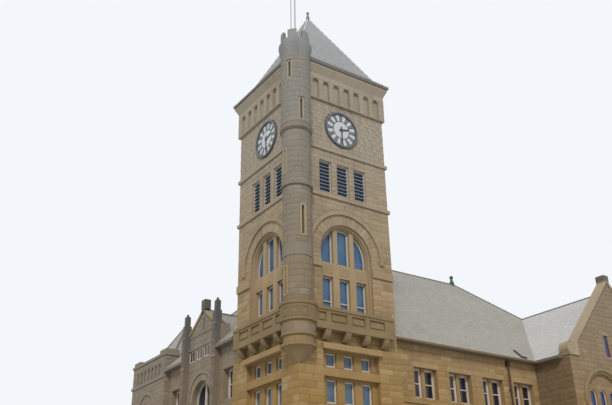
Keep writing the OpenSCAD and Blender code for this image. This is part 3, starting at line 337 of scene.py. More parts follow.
darkTints = dict(stoneTints, low=paint(124, 106, 88), high=paint(92, 90, 86), fade=(12.4, 15.0),
                 pale=paint(128, 120, 108), brown=paint(76, 68, 60), slope=paint(150, 136, 106))
# The left wing and its pavilion in a cooler, darker copy of the stone: painted shade for walls that face left
shadedLeftTints = dict(stoneTints, low=paint(136, 117, 88), high=paint(134, 124, 110), fade=(8.0, 15.0),
                 pale=paint(160, 148, 128), brown=paint(104, 88, 66))
turretTints = dict(stoneTints, low=paint(128, 111, 86), high=paint(137, 133, 125), fade=(14.0, 27.0),
                   pale=paint(166, 158, 142), brown=paint(106, 95, 80))
shaftTints = dict(turretTints, low=paint(138, 115, 78), high=paint(130, 120, 106), fade=(12.5, 15.5))
crownTints = dict(turretTints, low=paint(136, 132, 123), high=paint(140, 140, 139), fade=(28.8, 29.5),
                  brown=paint(110, 110, 108))
gableTints = dict(stoneTints, low=paint(140, 112, 72), high=paint(138, 121, 100), fade=(9.0, 16.5),
                  pale=paint(172, 156, 126))
# The gable's side wall facing left, in a darker copy of the gable stone: painted shade
shadedSideTints = dict(gableTints, low=paint(120, 96, 64), high=paint(116, 98, 76), pale=paint(144, 126, 98))
copingTints = dict(stoneTints, low=paint(168, 152, 126), high=paint(84, 82, 78), fade=(19.35, 19.6))
balconyTints = dict(stoneTints, low=paint(128, 108, 76), high=paint(128, 108, 76))
checkTints = dict(stoneTints, pale=paint(182, 172, 152))
dressedLook = {"grain": 0.04, "jointSpacing": 1.05, "lift": 0.08}
gableEdge = corner.x + gableX - 0.1
# String courses of the left wing cooled and darkened as painted shade; those of the gable front toned to their
# wall's own colour
leftWingShade = ((corner.x + pavilionHigh.x + 0.2, -1), (corner.y + towerWide + 0.1, 1), (0.76, 0.9, 1.7, 1.0))
gableWing = ((gableEdge, 1), (corner.y + gableY + 0.1, -1), (0.76, 0.83, 0.94, 1.0))
# Centres of the kneeler rolls on the gable coping, where shadow rings are painted
rollPlaces = [(corner.x + x, 14.06) for x in (gableX + 0.16, rightX - 0.16)]
slopePlace = (corner.y + sum(bayY) / 2, 0.27, 1.87)
laidStone = stoneMaterial("laid_stone", True)
wallStone = stoneMaterial("wall_stone", False, lift=-0.08)
shadedLeftStone = stoneMaterial("left_shaded_stone", True, shadedLeftTints)
shadedLeftWallStone = stoneMaterial("left_shaded_wall_stone", False, shadedLeftTints, lift=-0.08)
shadedLeftDressed = stoneMaterial("left_shaded_dressed_stone", False, shadedLeftTints, **dressedLook)
gableStone = stoneMaterial("gable_stone", True, gableTints)
gableShadedSideStone = stoneMaterial("gable_side_shaded_stone", True, shadedSideTints)
stringStone = stoneMaterial("string_stone", False, wings=[leftWingShade, gableWing], **dressedLook)
dressedStone = stoneMaterial("dressed_stone", False, **dressedLook)
traceryStone = stoneMaterial("tracery_stone", False, lift=0.2, grain=0.03, stained=0.2)
balconyStone = stoneMaterial("balcony_stone", False, balconyTints, lift=0.02, jointSpacing=1.05)
copingStone = stoneMaterial("coping_stone", False, copingTints, lift=0.05, jointSpacing=0.62,
                            rolls=rollPlaces)
pinnacleStone = stoneMaterial("pinnacle_stone", False, darkTints, paleSlopes=slopePlace)
buttressStone = stoneMaterial("buttress_stone", True, darkTints)
crownStone = stoneMaterial("crown_stone", False, crownTints, stained=0.45)
shaftStone = stoneMaterial("shaft_stone", False, shaftTints)
turretStone = stoneMaterial("turret_stone", True, turretTints, contrast=0.6)
checkStone = stoneMaterial("check_stone", True, checkTints, stained=0.2)


def slateMaterial(name, base, dark, pale, laid=True):
    material, tree, shader = newMaterial(name, Roughness=0.62)
    base, dark, pale = paint(*base), paint(*dark), paint(*pale)
    marks = placed(tree, mottle, patchSize=4.0, grainSize=0.05)
    colour = tinge(tree, base, marks["Patches"], 0.35, dark)
    if laid:
        tone = stoneTone(tree)
        colour = tinge(tree, colour, ramp(tree, tone, 0.55, 1.0), 0.24, pale)
        colour = tinge(tree, colour, ramp(tree, tone, 0.45, 0.0), 0.2, dark)
    colour = tinge(tree, colour, placed(tree, stains, low=0.55, high=0.8)["Mask"], 0.3, dark)
    tree.links.new(colour, shader.inputs["Base Color"])
    rough = sums(tree, "MULTIPLY_ADD", marks["Grain"], 0.15, 0.55)
    tree.links.new(rough, shader.inputs["Roughness"])
    bumpUp(tree, shader, marks["Height"], 0.004)
    return material


mainSlate = slateMaterial("main_slate", (157, 152, 142), (134, 130, 121), (182, 178, 168))
# The gable wing's roof in a paler copy of the slate: painted light, as its slope facing left catches the sun
litWingSlate = slateMaterial("wing_lit_slate", (192, 190, 186), (172, 169, 163), (211, 210, 206))
towerSlate = slateMaterial("tower_slate", (156, 156, 155), (132, 133, 134), (176, 176, 175))
underSlate = slateMaterial("under_slate", (116, 109, 98), (94, 89, 81), (136, 130, 120), False)
capSlate = slateMaterial("cap_slate", (196, 194, 188), (160, 158, 152), (216, 214, 208), False)


def plainMaterial(name, base, worn, amount=0.4, rough=0.5, metal=0.0, dirty=0.0):
    material, tree, shader = newMaterial(name, Roughness=rough, Metallic=metal)
    base, worn = paint(*base), paint(*worn)
    marks = placed(tree, mottle, patchSize=0.8, grainSize=0.05)
    colour = tinge(tree, base, marks["Patches"], amount, worn)
    colour = tinge(tree, colour, marks["Grain"], amount * 0.5, worn)
    if dirty:
        colour = tinge(tree, colour, placed(tree, stains, low=0.5, high=0.75)["Mask"], dirty, worn)
    tree.links.new(colour, shader.inputs["Base Color"])
    roughness = sums(tree, "MULTIPLY_ADD", marks["Grain"], 0.16, rough - 0.06)
    tree.links.new(roughness, shader.inputs["Roughness"])
    bumpUp(tree, shader, marks["Height"], 0.002)
    return material


framePaint = plainMaterial("frame_paint", (205, 190, 176), (158, 144, 128), 0.35, 0.55, dirty=0.3)
louvrePaint = plainMaterial("louvre_paint", (138, 150, 164), (152, 156, 160), dirty=0.4)
# The construction's louvres in a darker copy of the louvre paint: painted shade inside the belfry openings
louvrePaintedShade = plainMaterial("louvre_painted_shade", (78, 92, 112), (84, 98, 116), rough=0.7)
dialGrey = plainMaterial("dial_grey", (96, 101, 102), (78, 84, 88), 0.3)
dialBack = plainMaterial("dial_back", (126, 130, 132), (106, 112, 116), 0.3)
dialWhite = plainMaterial("dial_white", (202, 203, 202), (176, 179, 180), rough=0.45)
handMetal = plainMaterial("hand_metal", (62, 66, 70), (84, 86, 86), rough=0.45, metal=0.3)
darkLead = plainMaterial("dark_lead", (38, 40, 50), (66, 68, 74), rough=0.55, metal=0.2)
poleMetal = plainMaterial("pole_metal", (150, 151, 154), (120, 122, 126), rough=0.4, metal=0.3, dirty=0.3)
doorWood = plainMaterial("door_wood", (96, 62, 38), (64, 40, 26), 0.5, dirty=0.3)
floorWood = plainMaterial("floor_wood", (120, 98, 72), (92, 72, 50), rough=0.7)


def splitMaterial(name, axis, edge, first, second, rough, metal=0.0):
    # one finish below an edge and another above it, each clean and worn: along x is 0, up is 2
    material, tree, shader = newMaterial(name, Roughness=rough, Metallic=metal)
    marks = placed(tree, mottle, patchSize=0.7, grainSize=0.05)
    side = ramp(tree, placeParts(tree)[axis], edge - 0.02, edge + 0.02)
    base, worn = (blendColour(tree, side, paint(*low), paint(*high)) for low, high in zip(first, second))
    colour = tinge(tree, base, marks["Patches"], 0.5, worn)
    tree.links.new(colour, shader.inputs["Base Color"])
    bumpUp(tree, shader, marks["Height"], 0.002)
    return material


finialMetal = splitMaterial("finial_metal", 2, 30.0, ((38, 76, 70), (70, 106, 96)),
                            ((96, 96, 98), (126, 125, 122)), 0.55, 0.2)
rainIron = splitMaterial("rain_iron", 2, 13.4, ((74, 44, 40), (50, 38, 36)),
                         ((120, 100, 72), (98, 82, 62)), 0.7)
wingGlass = splitMaterial("wing_glass", 0, gableEdge, ((20, 24, 34), (44, 54, 70)),
                          ((26, 40, 92), (40, 58, 104)), 0.08)
towerGlass = splitMaterial("tower_glass", 2, 13.0, ((56, 84, 108), (120, 132, 140)),
                           ((44, 86, 122), (96, 118, 142)), 0.08)
print("materials made")


# Materials of the construction's own pieces
nodeFinish = {
    "tower_base_walls": wallStone, "tower_arch_walls": wallStone, "tower_belfry_walls": wallStone,
    "tower_clock_walls": wallStone, "tower_arcade_walls": dressedStone, "tower_string_courses": dressedStone,
    "tower_floors": floorWood, "tower_window_stonework": traceryStone, "tower_window_glass": towerGlass,
    "belfry_louvres": louvrePaintedShade, "clock_dials": dialGrey, "minute_hand_front": handMetal,
    "hour_hand_front": handMetal, "minute_hand_left": handMetal, "hour_hand_left": handMetal,
    "rear_clock_hands": handMetal, "tower_roof": underSlate, "roof_finials": finialMetal,
    "stair_turret": shaftStone, "turret_crown": crownStone, "turret_poles": poleMetal,
    "balcony_floor": balconyStone, "balcony_parapet": balconyStone, "front_wall": wallStone,
    "left_wall": shadedLeftWallStone, "back_wall": wallStone, "right_wall": wallStone,
    "gable_front_wall": wallStone, "gable_side_wall": wallStone, "gable_coping": copingStone,
    "gable_roof": underSlate,
    "entrance_bay_wall": shadedLeftWallStone, "entrance_pinnacles": pinnacleStone, "entrance_roof": underSlate,
    "entrance_doors": doorWood, "entrance_steps": shadedLeftDressed, "pavilion_walls": shadedLeftWallStone,
    "pavilion_parapet": shadedLeftDressed, "pavilion_roof": underSlate, "main_roof": underSlate,
    "main_floors": floorWood, "plinth_and_strings": stringStone, "window_frames": framePaint,
    "window_glass": wingGlass, "rainwater_pipe": rainIron,
}
for name, node in nodes.items():
    if node.material_slots:
        for finish in node.material_slots:
            finish.material = nodeFinish[name]
    else:
        node.data.materials.append(nodeFinish[name])
print("construction pieces finished")


# Building of new pieces

def newShape():
    bm = bmesh.new()
    bm.verts.layers.float.new("tone")
    return bm


def setTone(bm, verts, tone):
    layer = bm.verts.layers.float["tone"]
    for vert in verts:
        vert[layer] = tone


def finishPiece(name, bm, material, place=None, smooth=False):
    if place:
        bmesh.ops.transform(bm, matrix=place, verts=bm.verts)
    mesh = bpy.data.meshes.new(name)
    bm.to_mesh(mesh)
    bm.free()
    mesh.materials.append(material)
    for face in mesh.polygons:
        face.use_smooth = smooth
    piece = bpy.data.objects.new(name, mesh)
    bpy.context.scene.collection.objects.link(piece)
    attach(piece, "building")
    print(name, len(mesh.polygons), "faces")
    return piece


def joinInto(bm, other, place=None):
    if place:
        bmesh.ops.transform(other, matrix=place, verts=other.verts)
    mesh = bpy.data.meshes.new("spare")
    other.to_mesh(mesh)
    other.free()
    bm.from_mesh(mesh)
    bpy.data.meshes.remove(mesh)


def drawDown(bm, edges, depth):
    # turns a border back by a depth
    grown = bmesh.ops.extrude_edge_only(bm, edges=edges)["geom"]
    moved = [part for part in grown if isinstance(part, bmesh.types.BMVert)]
    bmesh.ops.translate(bm, verts=moved, vec=(0, 0, -depth))


def openEdges(bm):
    return [edge for edge in bm.edges if edge.is_boundary]


def addBlock(bm, run, rise, depth, bevel=0.012, tone=0.6):
    size = Vector((run[1] - run[0], rise[1] - rise[0], depth[1] - depth[0]))
    centre = Vector((run[0] + run[1], rise[0] + rise[1], depth[0] + depth[1])) / 2
    made = bmesh.ops.create_cube(bm, size=1, matrix=Matrix.LocRotScale(centre, None, size))["verts"]
    setTone(bm, made, tone)
    if bevel:
        edges = list({edge for vert in made for edge in vert.link_edges})
        bmesh.ops.bevel(bm, geom=edges, offset=bevel, segments=1, profile=0.5, affect="EDGES", material=-1)


def addOutline(bm, points, depth, band=0.0, tone=0.5):
    # a flat outline made solid between two depths, or only its band along the edge
    face = bm.faces.new([bm.verts.new((x, y, depth[1])) for x, y in points])
    face.normal_update()
    made = [face]
    if band:
        made = bmesh.ops.inset_individual(bm, faces=[face], thickness=band, use_even_offset=True)["faces"]
        bmesh.ops.delete(bm, geom=[face], context="FACES_ONLY")
    border = {edge for ring in made for edge in ring.edges if edge.is_boundary}
    drawDown(bm, list(border), depth[1] - depth[0])
    setTone(bm, {vert for ring in made for vert in ring.verts}, tone)


def archOutline(centre, spring, radius, sill, steps):
    turns = [math.pi * step / steps for step in range(steps + 1)]
    top = [(centre + radius * math.cos(turn), spring + radius * math.sin(turn)) for turn in turns]
    return [(centre - radius, sill), (centre + radius, sill)] + top


def addSash(bm, centre, wide, rise, front, rail=None, bar=0.05, thick=0.05):
    back = front - thick
    left, right = centre - wide / 2, centre + wide / 2
    inner = (left + bar, right - bar)
    for run, part in (((left, left + bar), rise), ((right - bar, right), rise),
                      (inner, (rise[0], rise[0] + bar * 1.3)), (inner, (rise[1] - bar, rise[1]))):
        addBlock(bm, run, part, (back, front), bevel=0)
    if rail:
        level = rise[0] + (rise[1] - rise[0]) * rail
        addBlock(bm, inner, (level - 0.03, level + 0.03), (back, front + 0.01), bevel=0)


# Laying of the stones: courses follow the openings, and stones beside an arch are cut to it
stoneWork = {"course": 0.33, "shortest": 0.42, "longest": 0.95, "joint": 0.012, "arris": 0.014, "bulge": 0.03,
             "cell": 0.15, "bed": 0.03, "even": False}
squareWork = dict(stoneWork, course=0.278, shortest=0.278, longest=0.278, bulge=0.014, cell=0.14, even=True)
smoothWork = dict(stoneWork, bulge=0.006, cell=0.35)
voussoirWork = dict(stoneWork, shortest=0.27, longest=0.31, bulge=0.012, cell=0.2)
shortestCourse = 0.14
thinnestRun = 0.06


def courseLevels(rise, marks, course):
    inside = sorted(mark for mark in marks if rise[0] + shortestCourse < mark < rise[1] - shortestCourse)
    breaks = [rise[0]]
    for mark in inside:
        if mark - breaks[-1] > shortestCourse:
            breaks.append(mark)
    breaks.append(rise[1])
    levels = [rise[0]]
    for low, high in zip(breaks, breaks[1:]):
        count = max(1, round((high - low) / course))
        levels += [low + (high - low) * step / count for step in range(1, count + 1)]
    return levels


def archReach(arch, low, high):
    centre, spring, radius, whole = arch
    far = max(abs(high - spring), abs(low - spring)) if whole else high - spring
    if high <= spring and not whole:
        return 0
    return math.sqrt(max(0.0, radius ** 2 - far ** 2))


def freeRuns(run, low, high, holes, arches):
    gaps = [(a, b) for a, b, sill, head in holes if head > low + 0.03 and sill < high - 0.03]
    for arch in arches:
        reach = archReach(arch, low, high)
        if reach:
            gaps.append((arch[0] - reach, arch[0] + reach))
    runs = [run]
    for a, b in gaps:
        runs = [part for start, end in runs for part in ((start, min(end, a)), (max(start, b), end))
                if part[1] - part[0] > thinnestRun]
    return runs


def splitRun(start, end, work):
    if work["even"]:
        count = max(1, round((end - start) / work["longest"]))
        return [(start + (end - start) * step / count, start + (end - start) * (step + 1) / count)
                for step in range(count)]
    edges = [start]
    while end - edges[-1] > work["longest"]:
        edges.append(edges[-1] + chance.uniform(work["shortest"], work["longest"]))
    if len(edges) > 1 and end - edges[-1] < work["shortest"] * 0.6:
        edges.pop()
    edges.append(end)
    return list(zip(edges, edges[1:]))


def cutToArch(bm, verts, arch, box):
    centre, spring, radius, whole = arch
    u0, u1, z0, z1 = box
    hits = []
    for step in range(360 if whole else 181):
        turn = math.radians(step)
        x, z = centre + radius * math.cos(turn), spring + radius * math.sin(turn)
        if u0 <= x <= u1 and z0 <= z <= z1:
            hits.append(turn)
    if not hits:
        return verts
    turn = (min(hits) + max(hits)) / 2 if max(hits) - min(hits) < math.pi else 0.0
    outward = Vector((math.cos(turn), math.sin(turn), 0))
    edges = {edge for vert in verts for edge in vert.link_edges}
    faces = {face for vert in verts for face in vert.link_faces}
    cut = bmesh.ops.bisect_plane(bm, geom=verts + list(edges) + list(faces), dist=0.0005,
                                 plane_co=Vector((centre, spring, 0)) + outward * (radius + 0.006),
                                 plane_no=-outward, clear_outer=True)
    made = [part for part in cut["geom_cut"] if isinstance(part, bmesh.types.BMVert)]
    return [vert for vert in verts if vert.is_valid] + made


def layStones(bm, run, rise, holes=(), arches=(), marks=(), out=0.0, work=stoneWork, keep=None):
    marks = list(marks) + [level for hole in holes for level in hole[2:]]
    gap = work["joint"] / 2
    levels = courseLevels(rise, marks, work["course"])
    for row, (low, high) in enumerate(zip(levels, levels[1:])):
        for start, end in freeRuns(run, low, high, holes, arches):
            for left, right in splitRun(start, end, work):
                if keep and not keep((left + right) / 2, high):
                    continue
                odd = (row + math.floor((left + right) / 2 / work["longest"])) % 2
                tone = min(1.0, max(0.0, chance.gauss(0.5, 0.2)))
                if work["even"]:
                    # every other square stone is darker and stands back
                    tone = 0.82 + chance.uniform(-0.12, 0.12) if odd else 0.3 + chance.uniform(-0.2, 0.2)
                stand = work["arris"] + (0.014 * odd if work["even"] else chance.uniform(0, 0.008))
                size = Vector((right - left - 2 * gap, high - low - 2 * gap, 1))
                centre = Vector(((left + right) / 2, (low + high) / 2, out + stand))
                cells = [max(2, round(part / work["cell"])) for part in size[:2]]
                place = Matrix.LocRotScale(centre, None, size)
                verts = bmesh.ops.create_grid(bm, x_segments=cells[0], y_segments=cells[1], size=0.5,
                                              matrix=place)["verts"]
                setTone(bm, verts, tone)
                for arch in arches:
                    verts = cutToArch(bm, verts, arch, (left, right, low, high))


def roughen(bm, work=stoneWork, seed=0.0):
    # inner points swell into a rock face, then the border is turned back into the wall
    for vert in bm.verts:
        if not vert.is_boundary:
            wave = noise.noise(vert.co * 3.1 + Vector((seed, seed, seed)))
            vert.co.z += work["bulge"] * (0.55 + 0.75 * wave + 0.25 * chance.uniform(-1, 1))
    drawDown(bm, openEdges(bm), work["arris"] + work["bed"])


def bendToArch(bm, centre, spring, middleRadius):
    for vert in bm.verts:
        turn = math.pi - vert.co.x / middleRadius
        reach = vert.co.y
        vert.co.x = centre + reach * math.cos(turn)
        vert.co.y = spring + reach * math.sin(turn)


def bendRound(bm, startTurn, radius):
    for vert in bm.verts:
        turn = startTurn + vert.co.x / radius
        reach = radius + vert.co.z
        vert.co = at(reach * math.cos(turn), reach * math.sin(turn), vert.co.y)


def addArch(bm, centre, spring, inner, outer, work=voussoirWork):
    # a ring of wedge stones, laid as a straight strip and bent
    strip = newShape()
    middleRadius = (inner + outer) / 2
    layStones(strip, (0, math.pi * middleRadius), (inner, outer), work=dict(work, course=outer - inner))
    roughen(strip, work, 3.0)
    bendToArch(strip, centre, spring, middleRadius)
    joinInto(bm, strip)


def span(centre, wide):
    return (centre - wide / 2, centre + wide / 2)


# Roof slopes as heights above a place in the plan, to leave out stones that a roof hides
eaveLow = lowOf("main_roof") - corner
eaveHigh = highOf("main_roof") - corner
eaveZ = 13.6
mainPitch = (highOf("main_roof").z - eaveZ) / ((eaveHigh.y - eaveLow.y) / 2)


def roofZ(x, y):
    reach = min(y - eaveLow.y, eaveHigh.y - y, x - eaveLow.x)
    return eaveZ + mainPitch * max(0.0, reach)


# Tower
towerFaces = (("front", 0, 0), ("left", 0, towerWide), ("back", towerWide, towerWide),
              ("right", towerWide, 0))
towerWork = {
    "skin": 0.12, "skinTop": 12.04, "groupWide": 3.64, "lintelTop": 11.94, "lintelWide": 3.84,
    "string": 10.75, "rows": [(1.8, 4.2), (5.5, 7.9), (8.85, 10.27), (10.7, 11.64)],
    "archSpring": 17.23, "archRadius": 1.76, "archSill": 13.95, "hoodMiddle": 2.49, "impost": (16.2, 16.66),
    "belfryPitch": 1.25, "belfryWide": 0.86, "belfryRise": (20.85, 22.9), "stringHigh": 0.2,
    "belfrySill": 0.15, "belfryLintel": 0.28, "checkRise": (24.2, 26.7), "dialZ": 25.31, "dialRadius": 1.2,
    "nicheWide": 0.46, "nichePitch": 0.77, "nicheShift": 0.43, "nicheRise": (26.99, 28.37), "arcadeOut": 0.15,
    "corniceFoot": 28.73, "turretInside": 0.3,
}


def towerFaceStones(facing, x, y):
    work = towerWork
    turretSide = {"front": "left", "left": "right"}.get(facing)
    bm = newShape()
    skin = work["skin"]
    arris = stoneWork["arris"]
    start = work["turretInside"] if turretSide == "left" else -arris
    end = towerWide - work["turretInside"] if turretSide == "right" else towerWide + arris
    radius = work["archRadius"]
    if turretSide:
        holes = [(*span(middle, work["groupWide"]), *row) for row in work["rows"]]
        holes.append((*span(middle, work["lintelWide"]), work["rows"][3][1], work["lintelTop"]))
        layStones(bm, (-skin, towerWide + skin), (plinthZ, work["string"]), holes, out=skin)
        upper = (0.1, towerWide + skin) if turretSide == "left" else (-skin, towerWide - 0.1)
        layStones(bm, upper, (work["string"], work["skinTop"]), holes, out=skin)
        layStones(bm, (start, end), (work["skinTop"], balconyZ))
        jamb = (middle - radius, middle + radius, work["archSill"], work["archSpring"])
        layStones(bm, (start, end), (balconyZ + 0.18, belfryZ), [jamb],
                  [(middle, work["archSpring"], work["hoodMiddle"], False)], marks=work["impost"])
    else:
        turned = (lambda u: (towerWide - u, towerWide)) if facing == "back" else (lambda u: (towerWide, u))
        layStones(bm, (start, end), (soffitZ, belfryZ), keep=lambda u, z: z > roofZ(*turned(u)))
    low, high = work["belfryRise"]
    openings = [(*span(middle + side * work["belfryPitch"], work["belfryWide"]),
                 low - work["belfrySill"], high + work["belfryLintel"]) for side in (-1, 0, 1)]
    layStones(bm, (start, end), (belfryZ + work["stringHigh"], clockZ), openings)
    dial = [(middle, work["dialZ"], work["dialRadius"] + 0.03, True)]
    low, high = work["checkRise"]
    layStones(bm, (start, end), (clockZ + work["stringHigh"], low), arches=dial)
    layStones(bm, (start, end), (high, arcadeZ), arches=dial)
    roughen(bm, seed=facings[facing] * 7.0)
    checks = newShape()
    plain = 0.62 if turretSide else 0.0
    band = (start, end - plain) if turretSide == "right" else (start + plain, end)
    layStones(checks, band, (low, high), arches=dial, work=squareWork)
    roughen(checks, squareWork)
    shift = {"left": work["nicheShift"], "right": -work["nicheShift"]}.get(turretSide, 0.0)
    niches = [(*span(middle + shift + (i - 3) * work["nichePitch"], work["nicheWide"]), *work["nicheRise"])
              for i in range(7)]
    arcade = newShape()
    out = work["arcadeOut"]
    ends = (start if turretSide == "left" else -out, end if turretSide == "right" else towerWide + out)
    layStones(arcade, ends, (arcadeZ, work["corniceFoot"]), niches, out=out, work=smoothWork)
    roughen(arcade, smoothWork)
    joinInto(bm, arcade)
    if turretSide:
        addArch(bm, middle, work["archSpring"], radius, work["hoodMiddle"])
    place = wallPlane(facing, x, y)
    finishPiece("tower_" + facing + "_stones", bm, laidStone, place)
    finishPiece("tower_" + facing + "_checks", checks, checkStone, place)


for face in towerFaces:
    towerFaceStones(*face)


def towerSideSkin():
    # the thick base shows a short return where the main front meets the tower
    bm = newShape()
    skin = towerWork["skin"]
    layStones(bm, (-skin, frontY), (plinthZ, towerWork["skinTop"]))
    roughen(bm, seed=40.0)
    finishPiece("tower_side_skin_stones", bm, laidStone, wallPlane("right", towerWide + skin, 0))


towerSideSkin()


# Stair turret: stones bent round the three quarters that show
turretWork = {
    "radius": 0.78, "drum": 0.86, "turns": (88, 274), "slitWide": 0.37, "bulge": 0.02,
    "rises": [(13.8, 16.3), (17.0, 20.44), (20.55, 23.94)], "drumRises": [(24.46, 29.25), (12.15, 12.6)],
    "slits": [(10, 17.39, 19.27), (10, 24.56, 26.1), (87, 21.2, 22.85), (87, 14.11, 15.81),
              (59, 27.44, 28.73)],
}


def turretStones():
    whole = newShape()
    work = turretWork
    startTurn, sweep = (math.radians(turn) for turn in work["turns"])
    rows = [(work["radius"], rise) for rise in work["rises"]]
    rows += [(work["drum"], rise) for rise in work["drumRises"]]
    for count, (radius, rise) in enumerate(rows):
        holes = [(*span((math.radians(270 - turn) - startTurn) * radius, work["slitWide"]), low, high)
                 for turn, low, high in work["slits"]]
        bm = newShape()
        layStones(bm, (0, sweep * radius), rise, holes)
        roughen(bm, dict(stoneWork, bulge=work["bulge"]), seed=60.0 + count)
        bendRound(bm, startTurn, radius)
        joinInto(whole, bm)
    finishPiece("stair_turret_stones", whole, turretStone)


turretStones()
print("tower stones laid")


# Wing walls
storeys = [(1.7, 3.9), (5.6, 7.8), (10.3, 12.1)]
lowerStoreys = storeys[:2]
pairWork = {"wide": 1.85, "leftWide": 1.5, "mullion": 0.25, "lintel": 0.32, "sill": 0.16, "ear": 0.14,
            "depth": 0.34, "frame": 0.075}
sillString = (9.95, 10.15)
gableTop = 13.6
stoneStand = 0.016


def windowHoles(places, wide, rises):
    return [(*span(place, wide), *rise) for place in places for rise in rises]


def pairHoles(places, wide, rises, topped=None):
    # the openings, then the lintels over them, or only over the topped rows
    lintels = [(high, high + pairWork["lintel"]) for low, high in topped or rises]
    return windowHoles(places, wide, rises) + windowHoles(places, wide + 2 * pairWork["ear"], lintels)


def dressWindows(bm, places, wide, rises, out=0.0):
    # a plain lintel and a sill to each pair of lights
    for place in places:
        for low, high in rises:
            run = span(place, wide + 2 * pairWork["ear"])
            addBlock(bm, run, (high, high + pairWork["lintel"]), (out - 0.05, out + 0.035), tone=0.66)
            if low != storeys[2][0]:
                addBlock(bm, run, (low - pairWork["sill"], low), (out - 0.05, out + 0.07), tone=0.66)


frontWindows = [10.35 + 2.85 * i for i in range(4)]
rightWindows = [1.5 + 2.9 * i for i in range(6)]
backWindows = [rightX - (7.6 + 2.9 * i) for i in range(8)]
leftWindows = [pavilionLow.y - 7.45, pavilionLow.y - 14.65]
leftWide = pairWork["leftWide"]


def wingWall(name, facing, x, y, runs, windows, top, seed, wide=pairWork["wide"], stone=laidStone):
    bm = newShape()
    holes = pairHoles(windows, wide, storeys)
    for run in runs:
        layStones(bm, run, (plinthZ, top), holes, marks=sillString)
    roughen(bm, seed=seed)
    place = wallPlane(facing, x, y)
    finishPiece(name + "_stones", bm, stone, place)
    if windows:
        lintels = newShape()
        dressWindows(lintels, windows, wide, storeys)
        finish = shadedLeftDressed if stone is shadedLeftStone else traceryStone
        finishPiece(name + "_lintels", lintels, finish, place)


wingWall("front_wall", "front", 0, frontY, [(towerWide + 0.12, gableX)], frontWindows, soffitZ, 70.0)
wingWall("gable_side", "left", gableX, frontY, [(0, frontY - gableY + stoneStand)], [], gableTop, 75.0,
         stone=gableShadedSideStone)
wingWall("right_wall", "right", rightX, 0, [(gableY - stoneStand, backY + stoneStand)], rightWindows, soffitZ,
         80.0)
wingWall("back_wall", "back", rightX, backY, [(-stoneStand, rightX - pavilionHigh.x)], backWindows, soffitZ,
         85.0)
wingWall("left_wall", "left", leftX, pavilionLow.y,
         [(0, pavilionLow.y - bayY[1]), (pavilionLow.y - bayY[0], pavilionLow.y - towerWide - 0.12)],
         leftWindows, soffitZ, 90.0, leftWide, shadedLeftStone)


# Gable front
gableWork = {"archMid": 2.35, "spring": 10.75, "recess": 1.9, "hoodMiddle": 2.17, "depth": 0.2, "sill": 9.3,
             "lights": (9.4, 11.6), "lightWide": 0.65, "lightPitch": 1.0, "course": 0.33,
             "voussoir": (0.34, 0.42),
             "slitWide": 0.46, "slitRise": (13.88, 15.38), "slitPitch": 1.25, "slitEar": 0.1,
             "foot": (0.87, 14.51), "slope": 1.09}
gableCentres = [gableMid - gableWork["archMid"], gableMid + gableWork["archMid"]]


def cutAway(bm, point, normal):
    # removes what lies beyond a plane
    bmesh.ops.bisect_plane(bm, geom=bm.verts[:] + bm.edges[:] + bm.faces[:], dist=0.0005,
                           plane_co=point, plane_no=normal, clear_outer=True)


def sliceGable(bm, left, right, level, slope):
    # keeps what lies under the two slopes of a gable, drawn flat
    cutAway(bm, (left, level, 0), Vector((-slope, 1, 0)).normalized())
    cutAway(bm, (right, level, 0), Vector((slope, 1, 0)).normalized())


def gableField(bm, centre):
    # thin stones between the lights, set back under the arch
    work = gableWork
    lights = windowHoles([centre + step * work["lightPitch"] for step in (-1, 0, 1)], work["lightWide"],
                         [work["lights"]])
    recess, spring = work["recess"], work["spring"]
    depth = -work["depth"]
    layStones(bm, (centre - recess, centre + recess), (work["sill"], spring), lights, out=depth,
              work=smoothWork)
    rows = courseLevels((spring, spring + recess - 0.05), [work["lights"][1]], work["course"])
    for low, high in zip(rows, rows[1:]):
        half = math.sqrt(recess ** 2 - (high - spring) ** 2)
        layStones(bm, (centre - half, centre + half), (low, high), lights, out=depth, work=smoothWork)


def gableFront():
    work = gableWork
    bm = newShape()
    recess = work["recess"]
    holes = pairHoles(gableCentres, pairWork["wide"], lowerStoreys)
    holes += windowHoles(gableCentres, 2 * recess, [(work["sill"], work["spring"])])
    slits = [gableMid + side * work["slitPitch"] for side in (-1, 0, 1)]
    holes += windowHoles(slits, work["slitWide"], [work["slitRise"]])
    arches = [(centre, work["spring"], work["hoodMiddle"], False) for centre in gableCentres]
    (footX, footZ), slope = work["foot"], work["slope"]
    top = footZ + slope * ((rightX - gableX) / 2 - footX)

    def underCoping(u, z):
        near = min(u - gableX, rightX - u)
        return z - 0.35 < footZ + slope * (near + 0.5 - footX)

    layStones(bm, (gableX - stoneStand, rightX + stoneStand), (plinthZ, gableTop), holes, arches)
    layStones(bm, (gableX, rightX), (gableTop, top), holes, keep=underCoping)
    sliceGable(bm, gableX + footX, rightX - footX, footZ, slope)
    roughen(bm, seed=100.0)
    field = newShape()
    for centre in gableCentres:
        gableField(field, centre)
    roughen(field, smoothWork, seed=110.0)
    joinInto(bm, field)
    short, long = work["voussoir"]
    for centre in gableCentres:
        addArch(bm, centre, work["spring"], recess, work["hoodMiddle"],
                dict(voussoirWork, shortest=short, longest=long))
    place = wallPlane("front", 0, gableY)
    finishPiece("gable_front_stones", bm, gableStone, place)
    lintels = newShape()
    dressWindows(lintels, gableCentres, pairWork["wide"], lowerStoreys)
    low, high = work["slitRise"]
    for slit in slits:
        run = span(slit, work["slitWide"] + 2 * work["slitEar"])
        addBlock(lintels, run, (high, high + 0.24), (-0.05, 0.03))
        addBlock(lintels, run, (low - 0.14, low), (-0.05, 0.05))
    finishPiece("gable_front_lintels", lintels, traceryStone, place)


gableFront()


